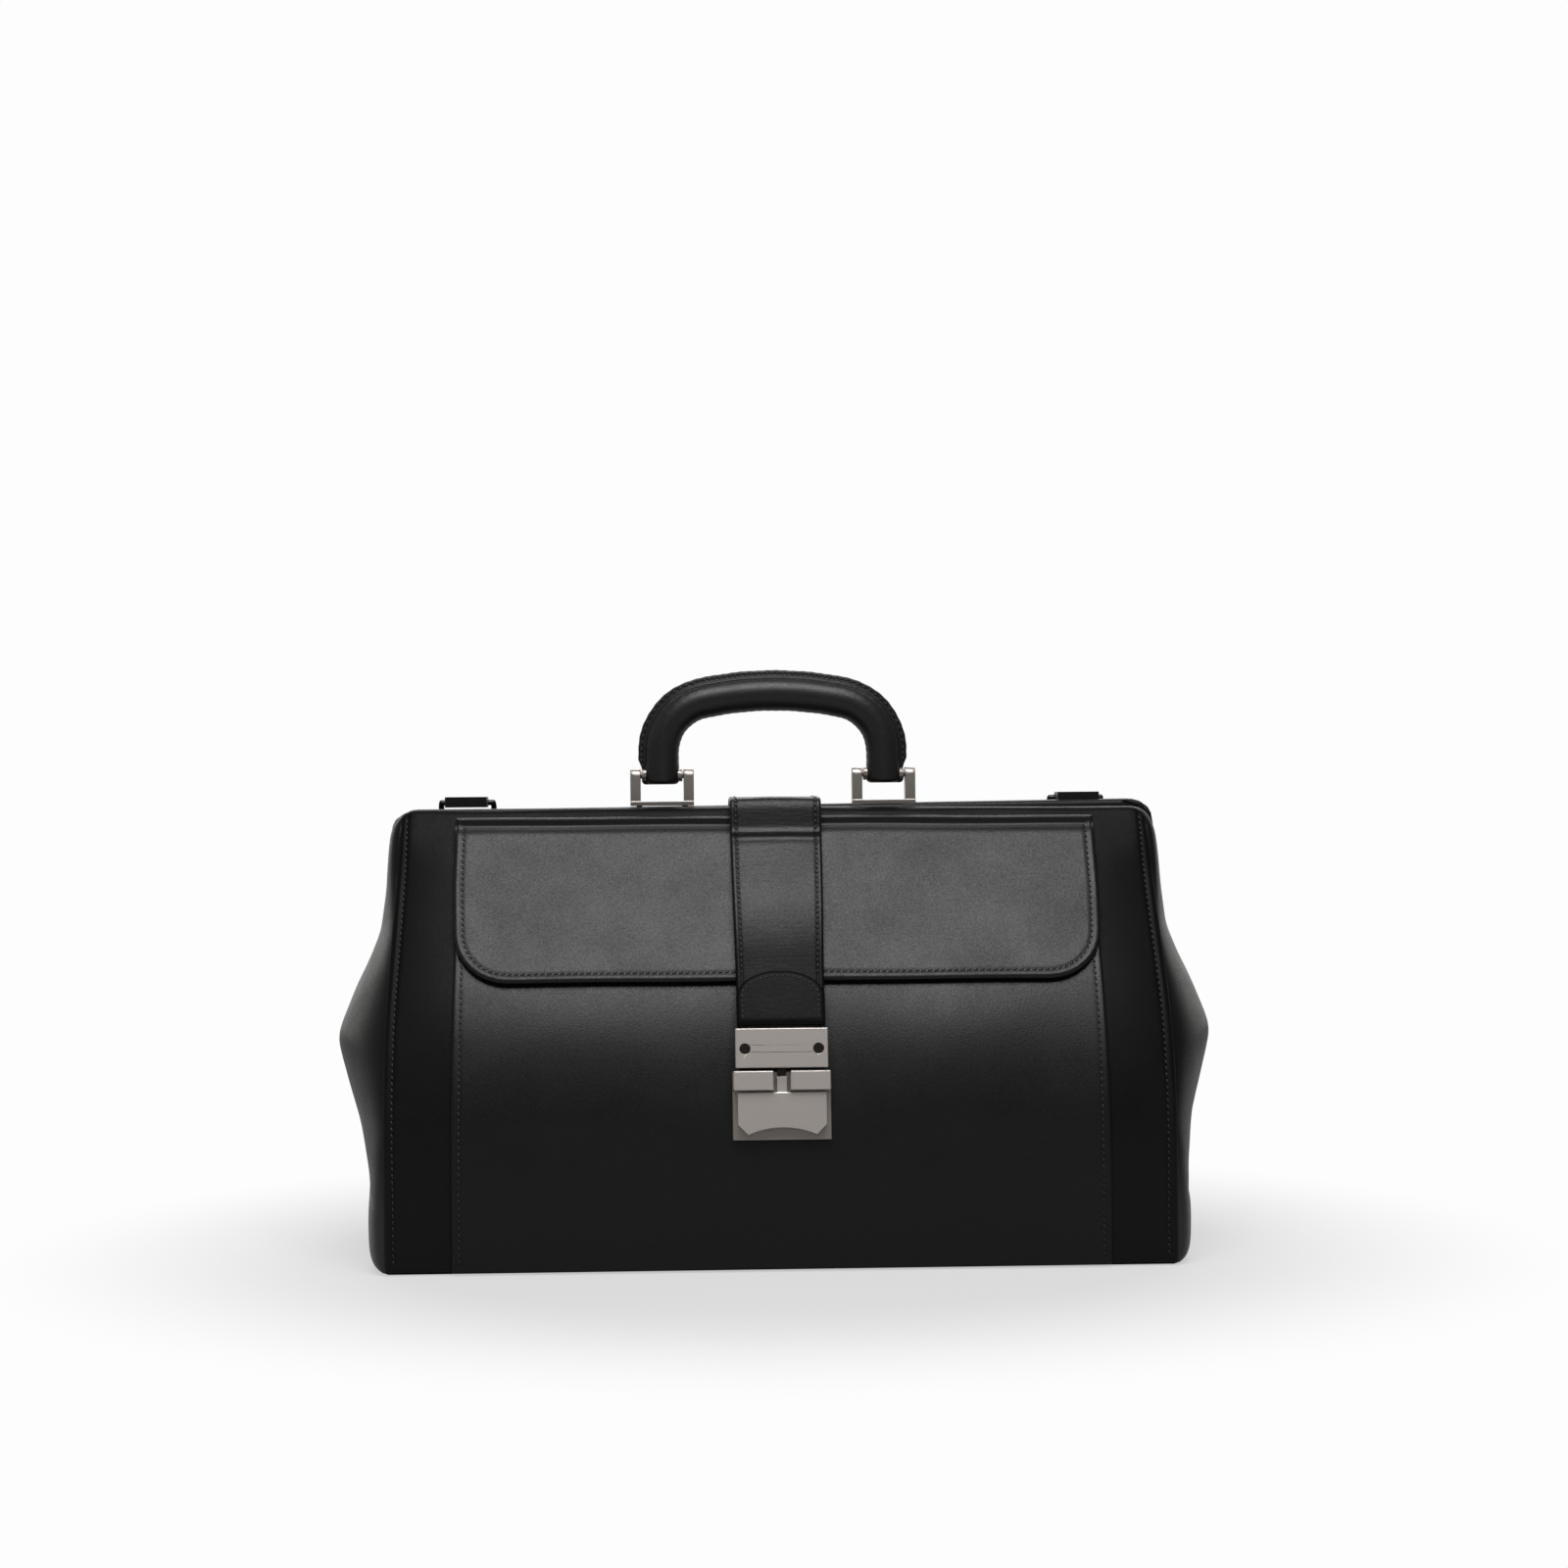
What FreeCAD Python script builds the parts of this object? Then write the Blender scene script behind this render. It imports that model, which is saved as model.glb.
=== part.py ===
"""Doctor bag with a hinged steel mouth frame, a front pocket under a flap, and a strap that locks.

Origin at the middle of the flat bottom, +X to the viewer's right, -Y the front, +Z up. Millimetres.
The front wall stands upright, bends inwards along one large arc and then leans back straight to the top.
The rear wall mirrors it. Above the panel fold the bag is two halves, each stiffened by a bent steel bar.
Each half turns about its own fold line in the leather, and the bars meet at a hinge pin on each end.
"""

import FreeCAD
import Part
import math
import os

V = FreeCAD.Vector

# The walls, seen from the end
HEIGHT = 230.0
HALF_DEPTH = 92.0
UPRIGHT_TO = 50.0
BEND_RADIUS = 184.0
LEAN = math.radians(30.6)
WALL = 3.0
HALF_WIDTH_LOW = 195.0
HALF_WIDTH_TOP = 200.0
TOP_CORNER = 13.0
MOUTH_GAP = 0.4

# The fold line that each upper half turns about, and the frame's end pins
FOLD_Y = 34.0
FOLD_Z = 184.0
LOWER_WALL_TOP = 175.0
PIN_Z = 173.0
PIN_RADIUS = 2.5
PIN_PLAY = 4.0

# Gusset: how far each level bulges past the wall at mid depth
GUSSET_LEVELS = (
    (WALL, 9.0),
    (20.0, 11.5),
    (45.0, 12.5),
    (66.0, 19.0),
    (88.0, 25.5),
    (110.0, 32.0),
    (130.0, 25.0),
    (150.0, 15.0),
    (170.0, 7.5),
)
GUSSET_EDGE = HALF_WIDTH_LOW + 1.0

# Steel mouth bars
BAR = 2.0
BAR_DEPTH = 11.0
COVER = 2.0

BAR_X = HALF_WIDTH_TOP - COVER - 0.3 - BAR / 2
FRONT_EYE_X = BAR_X - BAR - 0.4

# Pocket, flap and strap, as distances out from the front wall
POCKET_HALF_WIDTH = 162.0
POCKET_TOP = 171.0
POCKET_IN, POCKET_OUT = 0.3, 2.3
FLAP_HALF_WIDTH = 165.3
FLAP_TOP, FLAP_BOTTOM = 221.6, 141.5
FLAP_CORNER = 26.0
FLAP_IN, FLAP_OUT = 3.0, 5.8
STRAP_HALF_WIDTH = 22.5
STRAP_IN, STRAP_OUT = 6.4, 9.9
STRAP_TOP_GAP = 0.6
STRAP_FOLD_Y = -3.0

# Lock, in its own plane: u runs up the plate, v out from the wall, both from LOCK_Z
LOCK_Z = 81.5
LOCK_HALF_WIDTH = 24.5
PLATE_TOP, PLATE_BOTTOM = 17.0, -17.0
PLATE_BACK, PLATE_FRONT = 2.4, 4.0
BLOCK_BOTTOM, BLOCK_TOP = 7.0, 16.6
BLOCK_FRONT = 12.0
SLOT_HALF = 4.0
SLIDE_PAD_TOP, SLIDE_PAD_BOTTOM = 6.0, -15.2
SLIDE_HALF_WIDTH = 22.0
SLIDE_BACK, SLIDE_FRONT = 4.3, 9.0
SLIDE_TRAVEL = 3.0
HASP_BOTTOM, HASP_TOP = 18.0, 37.6
HASP_HALF_WIDTH = 23.0
HASP_BACK, HASP_FRONT = 9.6, 12.2
STRAP_END_BACK, STRAP_END_FRONT = 5.9, 9.4
HASP_SCREW_X = 18.2
HASP_SCREW_U = 27.4
HASP_SCREW_HEAD = 2.6
SCREW_SINK = 1.4
BACK_PLATE = 1.2
RIVET_X, RIVET_U = 16.0, 12.0

# Handle
HANDLE_Y = 8.6
HANDLE_PIN_Z = 246.2
HANDLE_LEG_X = 58.4
HANDLE_RADIUS = 9.0
CORE_RADIUS = 6.0
HANDLE_END = 5.0
CORNER_ARC = 27.0
TOP_ARC_HALF_ANGLE = math.radians(12.0)
CORNER_ARC_Z = 258.4
SEAM_HALF = 1.5
SEAM_REACH = 12.6
POST_GAP = 22.6
POST = 5.4
POST_DEPTH = 8.0
POST_TOP = 249.6
BRACKET_BASE = 2.2
HANDLE_PIN = 1.8
EYELET_RADIUS = 3.4
BRACKET_SCREW = 1.5
BRACKET_SCREW_X = 12.0

# Shoulder strap anchors
ANCHOR_X = 161.5
ANCHOR_HALF_WIDTH = 11.0
ANCHOR_LENGTH = 13.0
RING_WIRE = 1.5
RING_INSIDE = 24.0
RING_DROP = 17.0
RING_Y, RING_Z = 19.0, 232.6

ARC_TOP_Z = UPRIGHT_TO + BEND_RADIUS * math.sin(LEAN)
ARC_TOP_Y = -HALF_DEPTH + BEND_RADIUS * (1 - math.cos(LEAN))


def wall_angle(z):
    """Lean of the front wall from the vertical at height z."""
    if z <= UPRIGHT_TO:
        return 0.0
    if z >= ARC_TOP_Z:
        return LEAN
    return math.asin((z - UPRIGHT_TO) / BEND_RADIUS)


def wall_point(z, out=0.0):
    """Point of the front wall's outer face at height z, moved out along its normal."""
    lean = wall_angle(z)
    if z <= UPRIGHT_TO:
        y = -HALF_DEPTH
    elif z < ARC_TOP_Z:
        y = -HALF_DEPTH + BEND_RADIUS * (1 - math.cos(lean))
    else:
        y = ARC_TOP_Y + (z - ARC_TOP_Z) * math.tan(LEAN)
    return V(0, y - out * math.cos(lean), z + out * math.sin(lean))


def wall_edges(low, high, out):
    """The wall's line between two heights, moved out: an upright line, an arc and a leaning line."""
    levels = [low] + [z for z in (UPRIGHT_TO, ARC_TOP_Z) if low < z < high] + [high]
    edges = []
    for a, b in zip(levels, levels[1:]):
        start, end = wall_point(a, out), wall_point(b, out)
        if a >= UPRIGHT_TO and b <= ARC_TOP_Z:
            middle = BEND_RADIUS * math.sin((wall_angle(a) + wall_angle(b)) / 2) + UPRIGHT_TO
            edges.append(Part.Arc(start, wall_point(middle, out), end).toShape())
        else:
            edges.append(Part.makeLine(start, end))
    return edges


def inside_half_depth(z):
    """Half depth inside the walls, measured level at height z, less a little air."""
    return -wall_point(z).y - WALL / math.cos(wall_angle(z)) - 0.2


def extrude_x(face, half_width):
    """A face in the YZ plane made a solid across the bag, centred."""
    face.translate(V(-half_width, 0, 0))
    return face.extrude(V(2 * half_width, 0, 0))


def closed_face(edges):
    return Part.Face(Part.Wire(Part.__sortEdges__(edges)))


def wall_strip(low, high, inner, outer, half_width):
    """A sheet that follows the front wall between two heights and two distances out."""
    edges = wall_edges(low, high, inner) + wall_edges(low, high, outer)
    edges.append(Part.makeLine(wall_point(low, inner), wall_point(low, outer)))
    edges.append(Part.makeLine(wall_point(high, inner), wall_point(high, outer)))
    return extrude_x(closed_face(edges), half_width)


def box(x0, x1, y0, y1, z0, z1):
    return Part.makeBox(x1 - x0, y1 - y0, z1 - z0, V(x0, y0, z0))


def rod(radius, start, end):
    """A round bar between two points."""
    run = end.sub(start)
    return Part.makeCylinder(radius, run.Length, start, run)


def rear_of(shape):
    """The same piece mirrored to the other side of the mouth."""
    return shape.mirror(V(0, 0, 0), V(0, 1, 0))


def left_of(shape):
    return shape.mirror(V(0, 0, 0), V(1, 0, 0))


def both_ends(shape):
    return Part.makeCompound([shape, left_of(shape)])


def polygon_prism_x(points, half_width):
    """Straight-sided YZ outline extruded across the bag."""
    return extrude_x(Part.Face(Part.makePolygon([V(0, y, z) for y, z in points + points[:1]])), half_width)


def save(name, shape):
    shape.exportStep(f"parts/{name}.step")
    print(name, shape.isValid(), len(shape.Solids), round(shape.Volume / 1000, 2), "cm3")


def base_outline(grow):
    """Plan of the bag's bottom: straight long sides, ends bowed out as the gusset is."""
    x, y, bow = GUSSET_EDGE + grow, HALF_DEPTH - WALL + grow, GUSSET_LEVELS[0][1]
    right = Part.Arc(V(x, -y, 0), V(x + bow, 0, 0), V(x, y, 0)).toShape()
    left = Part.Arc(V(-x, -y, 0), V(-x - bow, 0, 0), V(-x, y, 0)).toShape()
    front, rear = Part.makeLine(V(-x, -y, 0), V(x, -y, 0)), Part.makeLine(V(-x, y, 0), V(x, y, 0))
    return closed_face([right, left, front, rear])


def base_panel():
    """The bottom leather, with its edge turned up under the walls."""
    return base_outline(WALL).extrude(V(0, 0, WALL - 0.2))


def base_board():
    """Stiff board that lies in the bottom of the bag."""
    board = base_outline(-WALL - 1.2).extrude(V(0, 0, 2.5))
    board.translate(V(0, 0, WALL))
    return board


def gusset_ring(level, bulge, thickness):
    """One level of the gusset: an arc-shaped band in plan."""
    half_depth = inside_half_depth(level)
    ends = [V(GUSSET_EDGE, side * half_depth, level) for side in (-1, 1)]
    outer = (ends[0], V(GUSSET_EDGE + bulge, 0, level), ends[1])
    inner = [p.sub(V(thickness, 0, 0)) for p in outer]
    return Part.Wire(
        [
            Part.Arc(*outer).toShape(),
            Part.makeLine(outer[2], inner[2]),
            Part.Arc(inner[2], inner[1], inner[0]).toShape(),
            Part.makeLine(inner[0], outer[0]),
        ]
    )


def gusset():
    """The right end wall below the frame: it bulges most half way up, where it folds as the bag closes."""
    return Part.makeLoft([gusset_ring(z, b, WALL) for z, b in GUSSET_LEVELS], True, True)


def lining():
    """Cloth that lines the lower walls, one sheet each side."""
    sheet = wall_strip(WALL + 3, LOWER_WALL_TOP - 2, -WALL - 1.2, -WALL - 0.3, HALF_WIDTH_LOW - 2)
    return Part.makeCompound([sheet, rear_of(sheet)])


def frame_outline(inset):
    """Front view of the bag's shoulders: rounded top corners, open sides run down past the mouth."""
    x, z, r, low = HALF_WIDTH_TOP - inset, HEIGHT - inset, TOP_CORNER - inset, FOLD_Z - 30
    turn = r * math.sqrt(0.5)
    corner_r = Part.Arc(V(x, 0, z - r), V(x - r + turn, 0, z - r + turn), V(x - r, 0, z)).toShape()
    corner_l = Part.Arc(V(-x, 0, z - r), V(-x + r - turn, 0, z - r + turn), V(-x + r, 0, z)).toShape()
    return closed_face(
        [
            corner_r,
            corner_l,
            Part.makeLine(V(-x + r, 0, z), V(x - r, 0, z)),
            Part.makeLine(V(x, 0, z - r), V(x, 0, low)),
            Part.makeLine(V(-x, 0, z - r), V(-x, 0, low)),
            Part.makeLine(V(-x, 0, low), V(x, 0, low)),
        ]
    )


def half_prism(inset, low_front, low_mouth):
    """End view of the front upper half, across the bag: slope, flat top and the mouth's plane."""
    top = wall_point(HEIGHT, -inset)
    foot = wall_point(low_front, -inset)
    slope = (HEIGHT - inset - foot.z) * math.tan(LEAN)
    points = [
        (foot.y, foot.z),
        (foot.y + slope, HEIGHT - inset),
        (-MOUTH_GAP + inset, HEIGHT - inset),
        (-MOUTH_GAP + inset, low_mouth),
        (-FOLD_Y + 6, low_mouth),
    ]
    return polygon_prism_x(points, HALF_WIDTH_TOP + 1)


def upper_cover():
    """Leather of the front upper half, open inside: slope, top edge and end walls round the steel bar."""
    shoulders = frame_outline(0).extrude(V(0, -HALF_DEPTH, 0))
    outside = shoulders.common(half_prism(0, FOLD_Z + 4, FOLD_Z - 4))
    x = HALF_WIDTH_TOP - COVER
    throat = box(-x, x, -HALF_DEPTH, 20, FOLD_Z - 30, FOLD_Z + 20)
    hollow = frame_outline(COVER).extrude(V(0, -HALF_DEPTH, 0)).fuse(throat)
    hollow.translate(V(0, 1, 0))
    inside = hollow.common(half_prism(COVER, FOLD_Z - 20, FOLD_Z - 20))
    return outside.cut(inside)


def mouth_bar(end_x, eye_hole):
    """Steel flat bent round the mouth: a top run and two legs that end in an eye about the hinge pin."""
    gap = 0.3
    y_back = -MOUTH_GAP - 1.2
    y_front = y_back - BAR_DEPTH
    outer = frame_outline(COVER + gap).extrude(V(0, -BAR_DEPTH, 0))
    inner = frame_outline(COVER + gap + BAR).extrude(V(0, -BAR_DEPTH - 2, 0))
    inner.translate(V(0, 1, 0))
    keep = box(-HALF_WIDTH_TOP, HALF_WIDTH_TOP, -BAR_DEPTH - 1, 1, PIN_Z + 22, HEIGHT)
    run = outer.cut(inner).common(keep)
    run.translate(V(0, y_back, 0))
    eye_radius = eye_hole + 3.2
    leg_top = PIN_Z + 24
    corners = [(y_front, leg_top), (y_back, leg_top), (eye_radius, PIN_Z), (-eye_radius, PIN_Z)]
    leg = polygon_prism_x(corners, BAR / 2)
    leg.translate(V(end_x, 0, 0))
    eye = rod(eye_radius, V(end_x - BAR / 2, 0, PIN_Z), V(end_x + BAR / 2, 0, PIN_Z))
    hole = rod(eye_hole, V(end_x - BAR, 0, PIN_Z), V(end_x + BAR, 0, PIN_Z))
    x_run = HALF_WIDTH_TOP - COVER - gap - BAR
    joggle = box(min(x_run, end_x - BAR / 2), x_run + BAR, y_front, y_back, PIN_Z + 22, PIN_Z + 25)
    legs = leg.fuse(eye).cut(hole).fuse(joggle)
    return run.fuse(legs).fuse(left_of(legs)).removeSplitter()


def hinge_pins():
    """A headed pin at each end, fast in the rear bar's eye and loose in the front bar's wide eye."""
    inner_face = FRONT_EYE_X - BAR - 0.2
    shank = rod(PIN_RADIUS, V(inner_face, 0, PIN_Z), V(BAR_X + BAR / 2, 0, PIN_Z))
    head = rod(PIN_RADIUS + PIN_PLAY + 2.2, V(inner_face - 1.4, 0, PIN_Z), V(inner_face, 0, PIN_Z))
    return both_ends(shank.fuse(head))


def pocket():
    """Pocket front, stitched flat over the lower wall."""
    return wall_strip(0.4, POCKET_TOP, POCKET_IN, POCKET_OUT, POCKET_HALF_WIDTH)


def flap_outline():
    """Front view of the flap: square at the fold, round at the two lower corners."""
    x, top, low, r = FLAP_HALF_WIDTH, FLAP_TOP + 8, FLAP_BOTTOM, FLAP_CORNER
    turn = r * math.sqrt(0.5)
    right = Part.Arc(V(x, 0, low + r), V(x - r + turn, 0, low + r - turn), V(x - r, 0, low)).toShape()
    left = Part.Arc(V(-x, 0, low + r), V(-x + r - turn, 0, low + r - turn), V(-x + r, 0, low)).toShape()
    return closed_face(
        [
            right,
            left,
            Part.makeLine(V(-x + r, 0, low), V(x - r, 0, low)),
            Part.makeLine(V(x, 0, low + r), V(x, 0, top)),
            Part.makeLine(V(-x, 0, low + r), V(-x, 0, top)),
            Part.makeLine(V(-x, 0, top), V(x, 0, top)),
        ]
    )


def flap():
    sheet = wall_strip(FLAP_BOTTOM - 4, FLAP_TOP, FLAP_IN, FLAP_OUT, FLAP_HALF_WIDTH)
    outline = flap_outline().extrude(V(0, -HALF_DEPTH - 40, 0))
    return sheet.common(outline)


def flap_hinge_strip():
    """Leather strip that joins the flap to the upper front wall."""
    return wall_strip(FLAP_TOP - 14, FLAP_TOP - 0.6, 0.3, 2.3, FLAP_HALF_WIDTH)


def lock_point(x, u, v):
    """Point of the lock's plane in the bag's frame."""
    lean = wall_angle(LOCK_Z)
    base = wall_point(LOCK_Z)
    up, out = V(0, math.sin(lean), math.cos(lean)), V(0, -math.cos(lean), math.sin(lean))
    return V(x, base.y, base.z) + up * u + out * v


def lock_prism(points, back, front):
    """Straight-sided outline in the lock's plane, made a solid between two distances out."""
    face = Part.Face(Part.makePolygon([lock_point(x, u, back) for x, u in points + points[:1]]))
    return face.extrude(lock_point(0, 0, front).sub(lock_point(0, 0, back)))


def lock_box(x0, x1, u0, u1, back, front):
    return lock_prism([(x0, u0), (x1, u0), (x1, u1), (x0, u1)], back, front)


def lock_rod(radius, x, u, back, front):
    return rod(radius, lock_point(x, u, back), lock_point(x, u, front))


def bevel(shape, size):
    """Takes the sharpness off every edge of a metal block."""
    return shape.makeChamfer(size, shape.Edges)


def lock_plate():
    """Lower plate of the lock, fixed through the pocket and the wall."""
    x = LOCK_HALF_WIDTH
    return bevel(lock_box(-x, x, PLATE_BOTTOM, PLATE_TOP, PLATE_BACK, PLATE_FRONT), 0.4)


def lock_blocks():
    """The two raised blocks that guide the slide and take the hasp's tongue between them."""
    block = lock_box(SLOT_HALF, LOCK_HALF_WIDTH - 0.3, BLOCK_BOTTOM, BLOCK_TOP, PLATE_FRONT, BLOCK_FRONT)
    return both_ends(bevel(block, 0.5))


def lock_slide():
    """T-shaped slide: a wide thumb pad with clipped lower corners and a hollowed lower edge, and a stem."""
    x, top, low, clip = SLIDE_HALF_WIDTH, SLIDE_PAD_TOP, SLIDE_PAD_BOTTOM, 5.5
    left_edge = [(-x, top), (-x, low + clip), (-x + clip, low)]
    right_edge = [(x - clip, low), (x, low + clip), (x, top)]
    pad = lock_prism(left_edge + right_edge, SLIDE_BACK, SLIDE_FRONT)
    hollow_radius = 42.0
    hollow = lock_rod(hollow_radius, 0, low + 4.0 - hollow_radius, 0, 20)
    stem = lock_box(-2.5, 2.5, top - 0.5, BLOCK_TOP - 2.6, SLIDE_BACK, SLIDE_FRONT - 1.2)
    return pad.cut(hollow).fuse(stem).removeSplitter()


def lock_anchor():
    """Plate inside the bag that the lock's rivets clamp against."""
    x = LOCK_HALF_WIDTH - 3
    return lock_box(-x, x, PLATE_BOTTOM + 2, PLATE_TOP - 2, -WALL - 3.6, -WALL - 2.4)


def lock_rivets():
    """Four rivets from the lock's plate through pocket, wall and anchor plate."""
    solids = []
    for x in (-RIVET_X, RIVET_X):
        for u in (-RIVET_U, RIVET_U):
            shank = lock_rod(1.2, x, u, -WALL - 3.6, PLATE_BACK)
            head = lock_rod(2.4, x, u, -WALL - 4.6, -WALL - 3.6)
            solids.append(shank.fuse(head))
    return Part.makeCompound(solids)


def rivet_holes():
    places = [(x, u) for x in (-RIVET_X, RIVET_X) for u in (-RIVET_U, RIVET_U)]
    return Part.makeCompound([lock_rod(1.2, x, u, -WALL - 8, PLATE_BACK) for x, u in places])


def strap_front():
    """The strap's moving length: from its fold by the handle, over the mouth, down the flap to the hasp."""
    inner_top = HEIGHT + STRAP_TOP_GAP
    thickness = STRAP_OUT - STRAP_IN
    outer_top = inner_top + thickness
    low = FLAP_BOTTOM + 3
    shoulder_in = wall_point(HEIGHT - 3, STRAP_IN)
    shoulder_out = wall_point(HEIGHT - 3, STRAP_OUT)
    lap_in = lock_point(0, HASP_TOP + 4, STRAP_END_BACK)
    lap_out = lock_point(0, HASP_TOP + 4, STRAP_END_FRONT)
    end_in = lock_point(0, HASP_BOTTOM + 1, STRAP_END_BACK)
    end_out = lock_point(0, HASP_BOTTOM + 1, STRAP_END_FRONT)
    bend_in = V(0, shoulder_in.y + 2.0, inner_top)
    bend_out = V(0, shoulder_out.y + 3.2, outer_top)
    edges = wall_edges(low, HEIGHT - 3, STRAP_IN) + wall_edges(low, HEIGHT - 3, STRAP_OUT)
    points_in = [end_in, lap_in, wall_point(low, STRAP_IN)]
    points_out = [end_out, lap_out, wall_point(low, STRAP_OUT)]
    for run in (points_in, points_out):
        edges += [Part.makeLine(a, b) for a, b in zip(run, run[1:])]
    fold_in, fold_out = V(0, STRAP_FOLD_Y - 0.3, inner_top), V(0, STRAP_FOLD_Y - 0.3, outer_top)
    corners = [shoulder_in, bend_in, fold_in, fold_out, bend_out, shoulder_out]
    edges += [Part.makeLine(a, b) for a, b in zip(corners, corners[1:])]
    edges.append(Part.makeLine(end_in, end_out))
    return extrude_x(closed_face(edges), STRAP_HALF_WIDTH)


def strap_rear():
    """The strap's fixed length: over the rear top edge and stitched down the rear upper wall."""
    thickness = STRAP_OUT - STRAP_IN
    level, near, far = HEIGHT + STRAP_TOP_GAP, 0.5, 0.5 + thickness
    low = FOLD_Z + 10
    runs = []
    for out, z, round_off in ((near, level, 1.2), (far, level + thickness, 2.4)):
        shoulder = wall_point(HEIGHT - 1, out)
        runs.append([wall_point(low, out), shoulder, V(0, shoulder.y + round_off, z), V(0, 0, z)])
    edges = [Part.makeLine(a, b) for run in runs for a, b in zip(run, run[1:])]
    edges += [Part.makeLine(runs[0][0], runs[1][0]), Part.makeLine(runs[0][-1], runs[1][-1])]
    over_rear = rear_of(extrude_x(closed_face(edges), STRAP_HALF_WIDTH))
    to_fold = box(-STRAP_HALF_WIDTH, STRAP_HALF_WIDTH, STRAP_FOLD_Y + 0.3, 0, level, level + thickness)
    return over_rear.fuse(to_fold).removeSplitter()


def hasp_plate():
    """Upper plate of the lock, screwed to the strap's end, with countersinks for its two screws."""
    width = HASP_HALF_WIDTH
    plate = bevel(lock_box(-width, width, HASP_BOTTOM, HASP_TOP, HASP_BACK, HASP_FRONT), 0.4)
    for x in (-HASP_SCREW_X, HASP_SCREW_X):
        sink = HASP_FRONT - SCREW_SINK
        plate = plate.cut(lock_rod(HASP_SCREW_HEAD + 0.1, x, HASP_SCREW_U, sink, HASP_FRONT + 1))
        plate = plate.cut(lock_rod(1.3, x, HASP_SCREW_U, HASP_BACK - 1, HASP_FRONT))
    return plate


def hasp_screws():
    """Two cross-slotted screws through the hasp plate, the strap and the back plate."""
    solids = []
    u, top, sink = HASP_SCREW_U, HASP_FRONT, HASP_FRONT - SCREW_SINK
    for x in (-HASP_SCREW_X, HASP_SCREW_X):
        head = lock_rod(HASP_SCREW_HEAD, x, u, sink, top - 0.1)
        level = lock_box(x - 3, x + 3, u - 0.35, u + 0.35, top - 0.7, top + 1)
        upright = lock_box(x - 0.35, x + 0.35, u - 3, u + 3, top - 0.7, top + 1)
        shank = lock_rod(1.25, x, u, STRAP_END_BACK - BACK_PLATE, sink)
        solids.append(head.cut(level.fuse(upright)).fuse(shank))
    return Part.makeCompound(solids)


def hasp_holes():
    places = (-HASP_SCREW_X, HASP_SCREW_X)
    return Part.makeCompound([lock_rod(1.3, x, HASP_SCREW_U, 0, HASP_FRONT) for x in places])


def hasp_back_plate():
    """Thin plate behind the strap's end, with the tongue that drops between the lock's blocks."""
    back, front = STRAP_END_BACK - BACK_PLATE, STRAP_END_BACK - 0.05
    x = HASP_HALF_WIDTH - 1
    plate = lock_box(-x, x, HASP_BOTTOM + 1, HASP_TOP - 1, back, front)
    tongue = lock_box(-2.2, 2.2, BLOCK_TOP - 1.8, HASP_BOTTOM + 2, back, front)
    return plate.fuse(tongue).removeSplitter().cut(hasp_holes())


def handle_line(radius_out):
    """The handle's arch seen from the front, its line moved out: legs, corner arcs and a flat top arc."""
    corner_x = HANDLE_LEG_X - CORNER_ARC
    join = math.pi / 2 - TOP_ARC_HALF_ANGLE
    reach = CORNER_ARC * math.sin(TOP_ARC_HALF_ANGLE)
    top_radius = (corner_x + reach) / math.sin(TOP_ARC_HALF_ANGLE)
    top_z = CORNER_ARC_Z + (CORNER_ARC - top_radius) * math.cos(TOP_ARC_HALF_ANGLE)
    r, big = CORNER_ARC + radius_out, top_radius + radius_out

    def corner(angle, side):
        return V(side * (corner_x + r * math.cos(angle)), HANDLE_Y, CORNER_ARC_Z + r * math.sin(angle))

    foot = HANDLE_PIN_Z - HANDLE_END
    x_leg = HANDLE_LEG_X + radius_out
    crown = V(0, HANDLE_Y, top_z + big)
    edges = [
        Part.makeLine(V(x_leg, HANDLE_Y, foot), corner(0, 1)),
        Part.Arc(corner(0, 1), corner(join / 2, 1), corner(join, 1)).toShape(),
        Part.Arc(corner(join, 1), crown, corner(join, -1)).toShape(),
        Part.Arc(corner(join, -1), corner(join / 2, -1), corner(0, -1)).toShape(),
        Part.makeLine(corner(0, -1), V(-x_leg, HANDLE_Y, foot)),
    ]
    return edges


def arch_tube(radius, foot_z):
    """Round bar along the handle's line, cut off at foot_z."""
    path = Part.Wire(handle_line(0))
    start = V(HANDLE_LEG_X, HANDLE_Y, HANDLE_PIN_Z - HANDLE_END)
    ring = Part.Wire(Part.makeCircle(radius, start, V(0, 0, 1)))
    tube = path.makePipeShell([ring], True, True)
    return tube.cut(box(-100, 100, -40, 60, 200, foot_z)) if foot_z > start.z else tube


def handle_pin_rod(radius, half_length):
    ends = [V(HANDLE_LEG_X + side * half_length, HANDLE_Y, HANDLE_PIN_Z) for side in (-1, 1)]
    return both_ends(rod(radius, *ends))


def handle_grip():
    """Leather rolled round the core, its two edges stitched into a seam along the outside of the arch."""
    tube = arch_tube(HANDLE_RADIUS, 0)
    low, high = handle_line(HANDLE_RADIUS - 2), handle_line(SEAM_REACH)
    ends = [
        Part.makeLine(low[0].Vertexes[0].Point, high[0].Vertexes[0].Point),
        Part.makeLine(low[-1].Vertexes[-1].Point, high[-1].Vertexes[-1].Point),
    ]
    fin = closed_face(low + high + ends)
    fin.translate(V(0, -SEAM_HALF, 0))
    fin = fin.extrude(V(0, 2 * SEAM_HALF, 0))
    trim = both_ends(box(HANDLE_LEG_X + HANDLE_RADIUS + 0.8, 100, -40, 60, 200, HANDLE_PIN_Z + 9))
    grip = tube.fuse(fin.cut(trim)).removeSplitter()
    return grip.cut(arch_tube(CORE_RADIUS, HANDLE_PIN_Z + 8)).cut(handle_pin_rod(EYELET_RADIUS, 15))


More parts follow.
